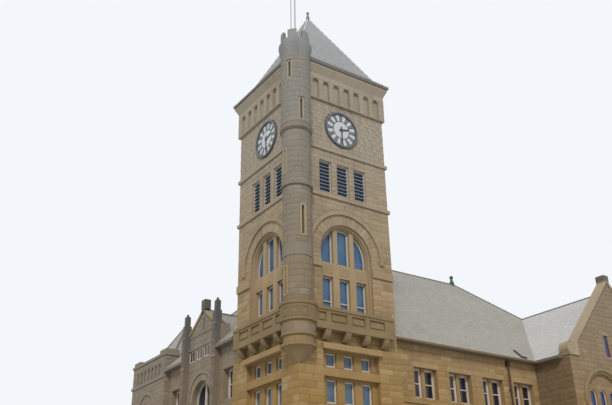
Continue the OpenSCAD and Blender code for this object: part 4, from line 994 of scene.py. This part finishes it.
# Entrance bay and pavilion
bayWork = {"mid": 2.31, "buttress": 0.42, "buttressOut": 0.36, "pierTop": 15.0, "pierCourse": 0.42,
           "foot": 0.6, "doorRadius": 0.95, "doorSpring": 2.5, "doorRing": 1.3, "archRadius": 1.2,
           "archSpring": 10.75, "archSill": 9.0, "hoodMiddle": 1.74, "lightWide": 0.74,
           "lightRise": (13.35, 14.1), "lightPitch": 1.0, "glass": 0.06, "slitWide": 0.18,
           "slitRise": (15.15, 15.95), "shoulder": (1.89, 15.06), "apex": 16.38, "pierBand": (12.9, 13.08)}


def entranceBay():
    work = bayWork
    mid = work["mid"]
    bm = newShape()
    window = [storeys[1]]
    holes = pairHoles([mid], pairWork["wide"], window)
    holes += windowHoles([mid], 2 * work["doorRadius"], [(work["foot"], work["doorSpring"])])
    holes += windowHoles([mid], 2 * work["archRadius"], [(work["archSill"], work["archSpring"])])
    lights = [mid + (i - 1.5) * work["lightPitch"] for i in range(4)]
    low, high = work["lightRise"]
    holes += windowHoles(lights, work["lightWide"], [(low, high)])
    holes += windowHoles([mid], work["slitWide"], [work["slitRise"]])
    pier = work["buttress"]
    between = (pier, 2 * mid - pier)
    arches = [(mid, work["doorSpring"], work["doorRing"], False),
              (mid, work["archSpring"], work["hoodMiddle"], False)]
    layStones(bm, between, (work["foot"], work["apex"]), holes, arches)
    half, shoulder = work["shoulder"]
    sliceGable(bm, mid - half, mid + half, shoulder, (work["apex"] - shoulder) / half)
    roughen(bm, seed=120.0)
    ends = ((0, pier), (2 * mid - pier, 2 * mid))
    out = work["buttressOut"]
    piers = newShape()
    for run in ends:
        layStones(piers, run, (plinthZ, work["pierTop"]), out=out,
                  work=dict(stoneWork, course=work["pierCourse"], longest=0.8))
    roughen(piers, seed=125.0)
    addArch(bm, mid, work["doorSpring"], work["doorRadius"], work["doorRing"])
    addArch(bm, mid, work["archSpring"], work["archRadius"], work["hoodMiddle"])
    place = wallPlane("left", bayX, bayY[1])
    finishPiece("entrance_bay_stones", bm, shadedLeftStone, place)
    finishPiece("entrance_buttress_stones", piers, buttressStone, place)
    bands = newShape()
    dressWindows(bands, [mid], pairWork["wide"], window)
    addBlock(bands, between, (low - 0.12, low), (-0.05, 0.04))
    addBlock(bands, between, (high, high + 0.24), (-0.05, 0.05))
    addBlock(bands, between, (shoulder - 0.12, shoulder), (-0.05, 0.07))
    for left, right in ends:
        for rise in (work["pierBand"], (shoulder - 0.1, shoulder)):
            addBlock(bands, (left - 0.03, right + 0.03), rise, (out - 0.06, out + 0.05))
    finishPiece("entrance_bay_lintels", bands, shadedLeftDressed, place)
    sashes = newShape()
    front = -work["glass"]
    for light in lights:
        addSash(sashes, light, work["lightWide"] - 0.01, (low + 0.005, high - 0.005), front + 0.03, bar=0.07)
        addBlock(sashes, span(light, 0.05), (low, high), (front - 0.01, front + 0.02), 0)
    finishPiece("entrance_light_sashes", sashes, framePaint, place)


entranceBay()

pavilionWork = {"row": (9.6, 11.6), "string": (13.13, 13.33), "nicheRise": (13.32, 14.2), "nicheWide": 0.33,
                "nichePitch": 0.62, "hoodSpring": 10.95, "hoodMiddle": 1.54, "course": 0.3}
pavilionRises = [*lowerStoreys, pavilionWork["row"]]


def pavilionFace(facing, x, y, mid, run):
    work = pavilionWork
    bm = newShape()
    holes, arches = [], []
    spring, radius = work["hoodSpring"], work["hoodMiddle"]
    if mid:
        holes = pairHoles([mid], pairWork["wide"], pavilionRises, lowerStoreys)
        niches = [mid + (i - 3) * work["nichePitch"] for i in range(7)]
        holes += windowHoles(niches, work["nicheWide"], [work["nicheRise"]])
        arches = [(mid, spring, radius, False)]
    layStones(bm, run, (plinthZ, pavilionTop), holes, arches, marks=work["string"])
    roughen(bm, seed=130.0 + facings[facing])
    place = wallPlane(facing, x, y)
    if mid:
        tympanum = newShape()
        rows = courseLevels((work["row"][1], spring + radius - 0.1), [], work["course"])
        for low, high in zip(rows, rows[1:]):
            half = math.sqrt(radius ** 2 - (high - spring) ** 2)
            layStones(tympanum, (mid - half, mid + half), (low, high), work=smoothWork)
        roughen(tympanum, smoothWork)
        joinInto(bm, tympanum)
        lintels = newShape()
        dressWindows(lintels, [mid], pairWork["wide"], lowerStoreys)
        finishPiece("pavilion_" + facing + "_lintels", lintels, shadedLeftDressed, place)
    finishPiece("pavilion_" + facing + "_stones", bm, shadedLeftStone, place)


pavilionWide = pavilionHigh.y - pavilionLow.y
wholeFace = (-stoneStand, pavilionWide + stoneStand)
pavilionFace("left", pavilionLow.x, pavilionHigh.y, pavilionWide / 2, wholeFace)
pavilionFace("back", pavilionHigh.x, pavilionHigh.y, pavilionWide / 2, wholeFace)
pavilionFace("right", pavilionHigh.x, backY, 0, (0, pavilionHigh.y - backY + stoneStand))
pavilionFace("front", pavilionLow.x, pavilionLow.y, 0, (-stoneStand, leftX - pavilionLow.x))
print("wing stones laid")


# Slates: each slope is tiled as a rectangle, then cut along a plan that runs with its inside on the left
slateWork = {"gauge": 0.27, "wide": 0.33, "gap": 0.004, "thick": 0.008, "lift": 0.004}


def framed(along, rising, start):
    # a flat drawing laid on a slope
    place = Matrix((along, rising, along.cross(rising))).transposed().to_4x4()
    place.translation = start
    return place


def slateSlope(whole, start, end, rising, length, plan, keep=None):
    work = slateWork
    along = (end - start).normalized()
    rising = rising.normalized()
    bm = newShape()
    rows = math.ceil(length / work["gauge"])
    columns = math.ceil((end - start).length / work["wide"]) + 1
    for row in range(rows):
        for column in range(columns):
            x = (column - 0.5 * (row % 2)) * work["wide"]
            centre = Vector((x + work["wide"] / 2, (row + 0.5) * work["gauge"], work["lift"] + work["thick"]))
            spot = start + along * centre.x + rising * centre.y
            if keep and not keep(spot):
                continue
            size = Vector((work["wide"] - work["gap"], work["gauge"], 1))
            made = bmesh.ops.create_grid(bm, x_segments=1, y_segments=1, size=0.5,
                                         matrix=Matrix.LocRotScale(centre, None, size))["verts"]
            setTone(bm, made, min(1.0, max(0.0, chance.gauss(0.5, 0.25))))
            for vert in made:
                tilt = 0.5 if vert.co.y < centre.y else -0.5
                vert.co.z += work["thick"] * tilt + chance.uniform(0, 0.002)
    drawDown(bm, openEdges(bm), work["thick"])
    bmesh.ops.transform(bm, matrix=framed(along, rising, start), verts=bm.verts)
    for (x0, y0), (x1, y1) in zip(plan, plan[1:] + plan[:1]):
        cutAway(bm, at(x0, y0), Vector((y1 - y0, x0 - x1, 0)).normalized())
    joinInto(whole, bm)


eaveFront, eaveBack, eaveLeft, eaveRight = eaveLow.y, eaveHigh.y, eaveLow.x, eaveHigh.x
hipMeets, backMeets = eaveFront - eaveLeft, eaveBack + eaveLeft
ridgeY = (eaveFront + eaveBack) / 2
ridgeZ = highOf("main_roof").z
ridgeLeft = eaveLeft + ridgeY - eaveFront
ridgeRight = 22.1
slopeHigh = ridgeZ - eaveZ
slopeLong = math.hypot(slopeHigh, ridgeY - eaveFront)
wingRidgeZ = highOf("gable_roof").z
wingEaveLeft = 2 * gableMid - eaveRight
wingBack = eaveFront + (wingRidgeZ - eaveZ) / mainPitch
mainUp = Vector((0, ridgeY - eaveFront, slopeHigh))
endUp = Vector((ridgeRight - eaveRight, 0, slopeHigh))
wingUp = Vector((gableMid - wingEaveLeft, 0, wingRidgeZ - eaveZ))
eaveOut = 0.04
copingBack = gableY + 0.55
bayRoof = {"low": 8.55, "high": 13.25, "middle": 10.9, "eave": 13.55, "ridge": 16.4, "valley": (-0.403, 2.6),
           "inner": 0.65}
pavilionRoof = {"low": (0.25, 16.45), "high": (4.65, 20.85), "eave": 14.25, "apex": 17.8}
towerRoof = {"eave": -0.44, "eaveZ": 29.48, "kink": 0.305, "kinkZ": 30.22, "apexZ": 36.05, "crown": 0.95,
             "turretHip": 0.72}
(pavX0, pavY0), (pavX1, pavY1) = pavilionRoof["low"], pavilionRoof["high"]
pavilionCorners = [(pavX0, pavY0), (pavX1, pavY0), (pavX1, pavY1), (pavX0, pavY1)]
pavilionApex = ((pavX0 + pavX1) / 2, (pavY0 + pavY1) / 2)


def sideways(points, side):
    # a plan drawn for the front slope, turned about the middle of a square block
    return list(points) if side == 0 else sideways([(middle * 2 - y, x) for x, y in points], side - 1)


def mainSlates():
    bm = newShape()
    tower, gap = towerWide, pavilionHigh.x + 0.09
    stop = pavilionLow.y - 0.09
    lowX, highX = eaveLeft - eaveOut, eaveRight + eaveOut
    lowY, highY = eaveFront - eaveOut, eaveBack + eaveOut
    ridge = [(ridgeLeft, ridgeY), (ridgeRight, ridgeY)]
    corners = [at(x, y, eaveZ) for x, y in ((eaveLeft, eaveFront), (eaveRight, eaveFront), (eaveRight, eaveBack),
                                            (eaveLeft, eaveBack))]
    for plan in ([(tower, lowY), (wingEaveLeft - eaveOut, lowY), (gableMid, wingBack), *ridge[::-1],
                  (tower, tower + hipMeets)],
                 [(tower - hipMeets, tower), (tower, tower), (tower, tower + hipMeets)]):
        slateSlope(bm, *corners[:2], mainUp, slopeLong, plan)
    back = Vector((0, -mainUp.y, mainUp.z))
    for plan in ([(gap, backMeets - gap), *ridge, (highX, highY), (gap, highY)],
                 [(gap, backMeets - gap), (gap, stop), (backMeets - stop, stop)]):
        slateSlope(bm, *corners[2:], back, slopeLong, plan)
    left = Vector((mainUp.y, 0, mainUp.z))
    foot, top = bayRoof["valley"]
    middleY = bayRoof["middle"]

    def clearOfBay(spot):
        x, y = spot.x - corner.x, spot.y - corner.y
        return not (x < 0.3 and bayY[0] - 0.15 < y < bayY[1] + 0.15)

    for plan in ([(lowX, tower), (tower - hipMeets, tower), ridge[0], (backMeets - middleY, middleY),
                  (top, middleY), (foot, bayRoof["low"])],
                 [(top, middleY), (backMeets - middleY, middleY), (backMeets - stop, stop), (lowX, stop),
                  (foot, bayRoof["high"])]):
        slateSlope(bm, corners[3], corners[0], left, slopeLong, plan, clearOfBay)
    slateSlope(bm, *corners[1:3], endUp, endUp.length, [(highX, lowY), (highX, highY), ridge[1]])
    finishPiece("main_roof_slates", bm, mainSlate)


def wingSlates():
    bm = newShape()
    near = copingBack
    lowX, highX = wingEaveLeft - eaveOut, eaveRight + eaveOut
    slateSlope(bm, at(wingEaveLeft, wingBack, eaveZ), at(wingEaveLeft, near, eaveZ), wingUp, wingUp.length,
               [(lowX, near), (gableMid, near), (gableMid, wingBack), (lowX, eaveFront)])
    up = Vector((-wingUp.x, 0, wingUp.z))
    slateSlope(bm, at(eaveRight, near, eaveZ), at(eaveRight, wingBack, eaveZ), up, up.length,
               [(gableMid, near), (highX, near), (highX, eaveFront), (gableMid, wingBack)])
    finishPiece("gable_roof_slates", bm, litWingSlate)


def baySlates():
    bm = newShape()
    work = bayRoof
    low, high, mid, eave, inner = (work[key] for key in ("low", "high", "middle", "eave", "inner"))
    up = Vector((0, mid - low, work["ridge"] - eave))
    foot, top = work["valley"]
    reach = (mid - low) / (top - foot) * (inner - foot)
    slateSlope(bm, at(inner, low, eave), at(top, low, eave), up, up.length,
               [(inner, low + reach), (top, mid), (inner, mid)])
    slateSlope(bm, at(top, high, eave), at(inner, high, eave), Vector((0, -up.y, up.z)), up.length,
               [(inner, mid), (top, mid), (inner, high - reach)])
    finishPiece("entrance_roof_slates", bm, mainSlate)


def pavilionSlates():
    bm = newShape()
    eave, apex = pavilionRoof["eave"], pavilionApex
    for first, second in zip(pavilionCorners, pavilionCorners[1:] + pavilionCorners[:1]):
        up = Vector((apex[0] - (first[0] + second[0]) / 2, apex[1] - (first[1] + second[1]) / 2,
                     pavilionRoof["apex"] - eave))
        slateSlope(bm, at(*first, eave), at(*second, eave), up, up.length, [first, second, apex])
    finishPiece("pavilion_roof_slates", bm, mainSlate)


def towerSlates():
    bm = newShape()
    work = towerRoof
    eave, kink, far = work["eave"], work["kink"], towerWide

    def clearOfCrown(spot):
        return math.hypot(spot.x - corner.x, spot.y - corner.y) > work["crown"]

    rings = [([(eave, eave), (far - eave, eave), (far - kink, kink), (kink, kink)],
              work["eaveZ"], kink - eave, work["kinkZ"] - work["eaveZ"]),
             ([(kink, kink), (far - kink, kink), (middle, middle)],
              work["kinkZ"], middle - kink, work["apexZ"] - work["kinkZ"])]
    for side in range(4):
        turn = Matrix.Rotation(math.pi / 2 * side, 3, "Z")
        for points, foot, run, rise in rings:
            plan = sideways(points, side)
            up = turn @ Vector((0, run, rise))
            slateSlope(bm, at(*plan[0], foot), at(*plan[1], foot), up, up.length, plan, clearOfCrown)
    finishPiece("tower_roof_slates", bm, towerSlate)


mainSlates()
wingSlates()
baySlates()
pavilionSlates()
towerSlates()


def addRoll(bm, start, end, radius):
    # half-round ridge stones laid end to end
    run = end - start
    count = max(1, round(run.length / 0.45))
    for step in range(count):
        a, b = start + run * (step / count), start + run * ((step + 1) / count)
        place = Matrix.Translation((a + b) / 2) @ run.to_track_quat("Z", "Y").to_matrix().to_4x4()
        made = bmesh.ops.create_cone(bm, cap_ends=True, segments=10, radius1=radius, radius2=radius * 0.96,
                                     depth=(b - a).length - 0.008, matrix=place)["verts"]
        setTone(bm, made, 0.5)


def onMain(x, y):
    return at(x, y, eaveZ + mainPitch * min(y - eaveFront, eaveBack - y))


def roofRolls():
    bm = newShape()
    stop = pavilionLow.y
    ends = (onMain(ridgeLeft, ridgeY), onMain(ridgeRight, ridgeY))
    mid, high = bayRoof["middle"], bayRoof["ridge"]
    for start, end in (ends, (onMain(towerWide - hipMeets, towerWide), ends[0]),
                       (onMain(backMeets - stop, stop), ends[0]), (onMain(eaveRight, eaveFront), ends[1]),
                       (onMain(eaveRight, eaveBack), ends[1]),
                       (at(gableMid, copingBack, wingRidgeZ), at(gableMid, wingBack, wingRidgeZ)),
                       (at(bayRoof["inner"], mid, high), at(bayRoof["valley"][1], mid, high))):
        addRoll(bm, start, end, 0.075)
    for foot in pavilionCorners:
        addRoll(bm, at(*foot, pavilionRoof["eave"]), at(*pavilionApex, pavilionRoof["apex"]), 0.07)
    finishPiece("ridge_rolls", bm, underSlate, smooth=True)
    bm = newShape()
    work = towerRoof
    pitch = (work["apexZ"] - work["kinkZ"]) / (middle - work["kink"])
    near = work["turretHip"]
    for side in range(4):
        eave, kink = (sideways([(work[key], work[key])], side)[0] for key in ("eave", "kink"))
        low = at(near, near, work["kinkZ"] + pitch * (near - work["kink"]))
        if side:
            low = at(*kink, work["kinkZ"])
            addRoll(bm, at(*eave, work["eaveZ"]), low, 0.06)
        addRoll(bm, low, at(middle, middle, work["apexZ"]), 0.06)
    finishPiece("tower_hip_rolls", bm, capSlate, smooth=True)


roofRolls()

# A bent lead flashing near the wing's valley, drawn flat on the front slope: x along, y up the slope
flashingWork = {"parts": (((18.68, 18.82), (0.2, 1.03)), ((18.68, 19.2), (0.1, 0.26))), "depth": (0.0, 0.1)}


def roofFlashing():
    bm = newShape()
    for run, rise in flashingWork["parts"]:
        addBlock(bm, run, rise, flashingWork["depth"], 0.02)
    place = framed(Vector((1, 0, 0)), mainUp.normalized(), at(0, eaveFront, eaveZ))
    finishPiece("roof_flashing", bm, darkLead, place)


roofFlashing()
print("slates laid")


# Sashes, set in the stone or timber frames
def pairSashes(name, places):
    bm = newShape()
    frame, mullion = pairWork["frame"], pairWork["mullion"]
    for facing, x, y, centres, rises in places:
        flat = newShape()
        wide = leftWide if centres is leftWindows else pairWork["wide"]
        light = (wide - mullion) / 2
        for centre in centres:
            for side in (-1, 1):
                for low, high in rises:
                    addSash(flat, centre + side * (mullion + light) / 2, light - 2 * frame,
                            (low + frame, high - frame), -pairWork["depth"] - 0.03, rail=0.5)
        joinInto(bm, flat, wallPlane(facing, x, y))
    finishPiece(name, bm, framePaint)


pairSashes("wing_sashes", [
    ("front", 0, frontY, frontWindows, storeys),
    ("right", rightX, 0, rightWindows, storeys),
    ("back", rightX, backY, backWindows, storeys),
    ("left", leftX, pavilionLow.y, leftWindows, storeys),
    ("front", 0, gableY, gableCentres, lowerStoreys),
    ("left", bayX, bayY[1], [bayWork["mid"]], [storeys[1]]),
    ("left", pavilionLow.x, pavilionHigh.y, [pavilionWide / 2], pavilionRises),
    ("back", pavilionHigh.x, pavilionHigh.y, [pavilionWide / 2], pavilionRises),
])

lightWork = {"pitch": 1.15, "baseWide": 0.66, "inset": 0.1, "baseFront": -0.275, "bar": 0.08,
             "archWide": (0.72, 0.86), "archRows": [(14.05, 15.83), (16.64, 19.2)], "archInner": 1.57,
             "archFront": -0.415, "archBar": 0.075, "ribs": 8, "ribWide": 0.048, "ribRise": (15.98, 16.5),
             "ribDepth": (-0.24, -0.195)}
lightPlaces = [middle + step * lightWork["pitch"] for step in (-1, 0, 1)]


def clippedLight(centre, wide, rise):
    # a light's outline, its top cut by the great arch
    (sill, head), (left, right) = rise, span(centre, wide)
    top = []
    for step in range(13):
        x = right + (left - right) * step / 12
        reach = max(0.0, lightWork["archInner"] ** 2 - (x - middle) ** 2)
        top.append((x, min(head, towerWork["archSpring"] + math.sqrt(reach))))
    return [(left, sill), (right, sill)] + top


def towerSashes():
    work = lightWork
    sashes, ribs = newShape(), newShape()
    for facing, x, y in towerFaces[:2]:
        bm = newShape()
        for count, (low, high) in enumerate(towerWork["rows"]):
            for place in lightPlaces:
                addSash(bm, place, work["baseWide"], (low + work["inset"], high - work["inset"]),
                        work["baseFront"], rail=0.5 if count < 2 else None, bar=work["bar"], thick=0.06)
        front = work["archFront"]
        for place in lightPlaces:
            addSash(bm, place, work["archWide"][0], work["archRows"][0], front, rail=0.22,
                    bar=work["archBar"])
            outline = clippedLight(place, work["archWide"][1], work["archRows"][1])
            addOutline(bm, outline, (front - 0.05, front), band=work["archBar"])
        joinInto(sashes, bm, wallPlane(facing, x, y))
        bm = newShape()
        for place in lightPlaces:
            for rib in range(work["ribs"]):
                u = place + work["archWide"][0] * ((rib + 0.5) / work["ribs"] - 0.5)
                addBlock(bm, span(u, work["ribWide"]), work["ribRise"], work["ribDepth"], 0.01)
        joinInto(ribs, bm, wallPlane(facing, x, y))
    finishPiece("tower_sashes", sashes, framePaint)
    finishPiece("transom_ribs", ribs, traceryStone)


towerSashes()


def gableSashes():
    bm = newShape()
    work = gableWork
    low, high = work["lights"]
    radius = work["lightWide"] / 2
    for centre in gableCentres:
        for step in (-1, 0, 1):
            place = centre + step * work["lightPitch"]
            addOutline(bm, archOutline(place, high - radius, radius - 0.004, low + 0.004, 10), (-0.33, -0.28),
                       band=0.06)
            addBlock(bm, span(place, 0.54), (10.36, 10.42), (-0.33, -0.27), bevel=0)
    finishPiece("gable_sashes", bm, framePaint, wallPlane("front", 0, gableY))


gableSashes()

# Louvres: sloping slats in a frame
louvreWork = {"count": 9, "slope": 38, "deep": 0.26, "thick": 0.03, "middle": -0.18, "bar": 0.05,
              "front": -0.1, "foot": 0.12, "head": 0.08}


def louvreSlats():
    slats, frames = newShape(), newShape()
    work = louvreWork
    low, high = towerWork["belfryRise"]
    wide = towerWork["belfryWide"] - 0.01
    turn = Matrix.Rotation(math.radians(work["slope"]), 3, "X").to_quaternion()
    size = Vector((wide - 2 * work["bar"], work["thick"], work["deep"]))
    first, last = low + work["foot"], high - work["head"]
    for facing, x, y in towerFaces:
        bm, trim = newShape(), newShape()
        for step in (-1, 0, 1):
            place = middle + step * towerWork["belfryPitch"]
            addSash(trim, place, wide, (low + 0.005, high - 0.005), work["front"], bar=work["bar"],
                    thick=0.14)
            for slat in range(work["count"]):
                z = first + (last - first) * slat / (work["count"] - 1)
                turned = Matrix.LocRotScale(Vector((place, z, work["middle"])), turn, size)
                setTone(bm, bmesh.ops.create_cube(bm, size=1, matrix=turned)["verts"], 0.5)
        joinInto(slats, bm, wallPlane(facing, x, y))
        joinInto(frames, trim, wallPlane(facing, x, y))
    finishPiece("louvre_slats", slats, louvrePaint)
    finishPiece("louvre_frames", frames, framePaint)


louvreSlats()

# Dial faces, in shares of the radius: white wedges between the hours, a minute ring and a white middle
dialWork = {"wedge": (0.53, 0.87), "wide": 15.5, "narrow": 0.86, "middle": 0.47, "tips": (0.875, 0.865),
            "hour": (0.55, 0.05), "ring": (0.94, 0.965), "ringDepth": (0.12, 0.145), "depth": (0.03, 0.052)}


def ringSector(bm, inner, outer, start, end, depth, steps):
    inner, outer = inner * towerWork["dialRadius"], outer * towerWork["dialRadius"]
    turns = [start + (end - start) * i / steps for i in range(steps + 1)]
    points = [(outer * math.cos(turn), outer * math.sin(turn)) for turn in turns]
    points += [(inner * math.cos(turn), inner * math.sin(turn)) for turn in reversed(turns)]
    addOutline(bm, points, depth)


def dialMarks():
    whites, greys = newShape(), newShape()
    work = dialWork
    depth = work["depth"]
    half = math.radians(work["wide"] / 2)
    foot, wide = work["hour"]
    radius = work["middle"] * towerWork["dialRadius"]
    for facing, x, y in towerFaces:
        white, grey = newShape(), newShape()
        for mark in range(12):
            turn, hour = math.radians(15 + 30 * mark), math.radians(30 * mark)
            ringSector(white, *work["wedge"], turn - half * work["narrow"], turn + half, depth, 4)
            ringSector(grey, foot, work["tips"][bool(mark % 3)], hour - wide, hour + wide,
                       (depth[0], depth[1] + 0.006), 1)
        bmesh.ops.create_cone(white, cap_ends=True, segments=48, radius1=radius, radius2=radius,
                              depth=depth[1] - depth[0], matrix=Matrix.Translation((0, 0, sum(depth) / 2)))
        for part in range(8):
            turn = math.radians(45 * part)
            ringSector(grey, *work["ring"], turn, turn + math.radians(45), work["ringDepth"], 6)
        place = wallPlane(facing, x, y) @ Matrix.Translation((middle, towerWork["dialZ"], 0))
        joinInto(whites, white, place)
        joinInto(greys, grey, place)
    finishPiece("dial_whites", whites, dialWhite)
    finishPiece("dial_hours", greys, dialBack)


dialMarks()

# Balcony: a raised field in each panel, and framed panels round the turret
balconyWork = {"out": 0.55, "rise": (12.96, 13.48), "margin": 0.1, "depth": (-0.12, -0.04),
               "panels": [(0.86, 1.38), (1.68, 2.74), (3.05, 3.95), (4.26, 5.3)], "radius": 0.96,
               "turns": (193, 225, 257), "roundWide": 0.46, "frame": 0.06, "frameDepth": (-0.02, 0.03)}


def balconyPanels():
    bm = newShape()
    work = balconyWork
    low, high = work["rise"]
    margin, frame = work["margin"], work["frame"]
    for facing, x, y, turned in (("front", 0, -work["out"], False), ("left", -work["out"], towerWide, True)):
        flat = newShape()
        for a, b in work["panels"]:
            run = (towerWide - b, towerWide - a) if turned else (a, b)
            addBlock(flat, (run[0] + margin, run[1] - margin), (low + margin, high - margin), work["depth"],
                     0.02, 0.8)
        joinInto(bm, flat, wallPlane(facing, x, y))
    half = work["roundWide"] / 2
    part = work["roundWide"] / 6
    for turn in work["turns"]:
        flat = newShape()
        for step in range(6):
            start = -half + part * step
            for rise in ((low, low + frame), (high - frame, high)):
                addBlock(flat, (start, start + part), rise, work["frameDepth"], 0)
        for edge in (-half, half - frame):
            addBlock(flat, (edge, edge + frame), (low + frame, high - frame), work["frameDepth"], 0)
        addBlock(flat, (0.11 - half, half - 0.11), (low + 0.13, high - 0.13), (-0.02, 0.02), 0.01, 0.8)
        bendRound(flat, math.radians(turn), work["radius"])
        joinInto(bm, flat)
    finishPiece("balcony_panels", bm, balconyStone)


balconyPanels()

# Entrance doors: boards and strap hinges
doorWork = {"front": -0.34, "radius": 0.945, "low": 0.61, "board": 0.155, "straps": (0.95, 1.7, 2.45),
            "strapRun": (0.2, 0.88)}


def doorBoards():
    work = doorWork
    boards, straps = newShape(), newShape()
    mid, front = bayWork["mid"], work["front"]
    for side in (-1, 1):
        for board in range(6):
            a = 0.008 + board * work["board"]
            b = min(a + work["board"] - 0.01, work["radius"] - 0.01)
            top = bayWork["doorSpring"] + math.sqrt(max(0.01, work["radius"] ** 2 - b ** 2)) - 0.01
            run = sorted((mid + side * a, mid + side * b))
            addBlock(boards, run, (work["low"], top), (front - 0.02, front + 0.018), 0.006)
        for level in work["straps"]:
            run = sorted(mid + side * reach for reach in work["strapRun"])
            addBlock(straps, run, (level - 0.025, level + 0.025), (front, front + 0.026), 0.004)
    place = wallPlane("left", bayX, bayY[1])
    finishPiece("door_boards", boards, doorWood, place)
    finishPiece("door_straps", straps, handMetal, place)


doorBoards()
print("joinery made")


# Floor, light and background
stageWork = {"size": 260.0, "floor": paint(214, 213, 209), "sky": (0.90, 0.93, 0.96, 1), "ambient": 0.62,
             "sunTurn": (-0.48, -0.62, 0.62), "sun": 1.9, "sunAngle": 14}


def addStage(work):
    bm = bmesh.new()
    bmesh.ops.create_grid(bm, x_segments=1, y_segments=1, size=work["size"] / 2)
    mesh = bpy.data.meshes.new("stage_floor")
    bm.to_mesh(mesh)
    bm.free()
    floor = bpy.data.objects.new("stage_floor", mesh)
    bpy.context.scene.collection.objects.link(floor)
    material, tree, shader = newMaterial("stage_paint", Roughness=0.9)
    shader.inputs["Base Color"].default_value = work["floor"]
    mesh.materials.append(material)
    world = bpy.data.worlds.new("studio")
    bpy.context.scene.world = world
    world.use_nodes = True
    tree = world.node_tree
    background = tree.nodes["Background"]
    background.inputs["Color"].default_value = work["sky"]
    path = put(tree, "ShaderNodeLightPath")
    seen = sums(tree, "MAXIMUM", path.outputs["Is Camera Ray"], path.outputs["Is Glossy Ray"])
    seen = sums(tree, "MAXIMUM", seen, path.outputs["Is Transmission Ray"])
    strength = sums(tree, "MULTIPLY_ADD", seen, 1.0 - work["ambient"], work["ambient"])
    tree.links.new(strength, background.inputs["Strength"])
    lamp = bpy.data.lights.new("soft_sun", "SUN")
    lamp.energy = work["sun"]
    lamp.angle = math.radians(work["sunAngle"])
    sun = bpy.data.objects.new("soft_sun", lamp)
    sun.matrix_world = Vector(work["sunTurn"]).to_track_quat("Z", "Y").to_matrix().to_4x4()
    bpy.context.scene.collection.objects.link(sun)


addStage(stageWork)
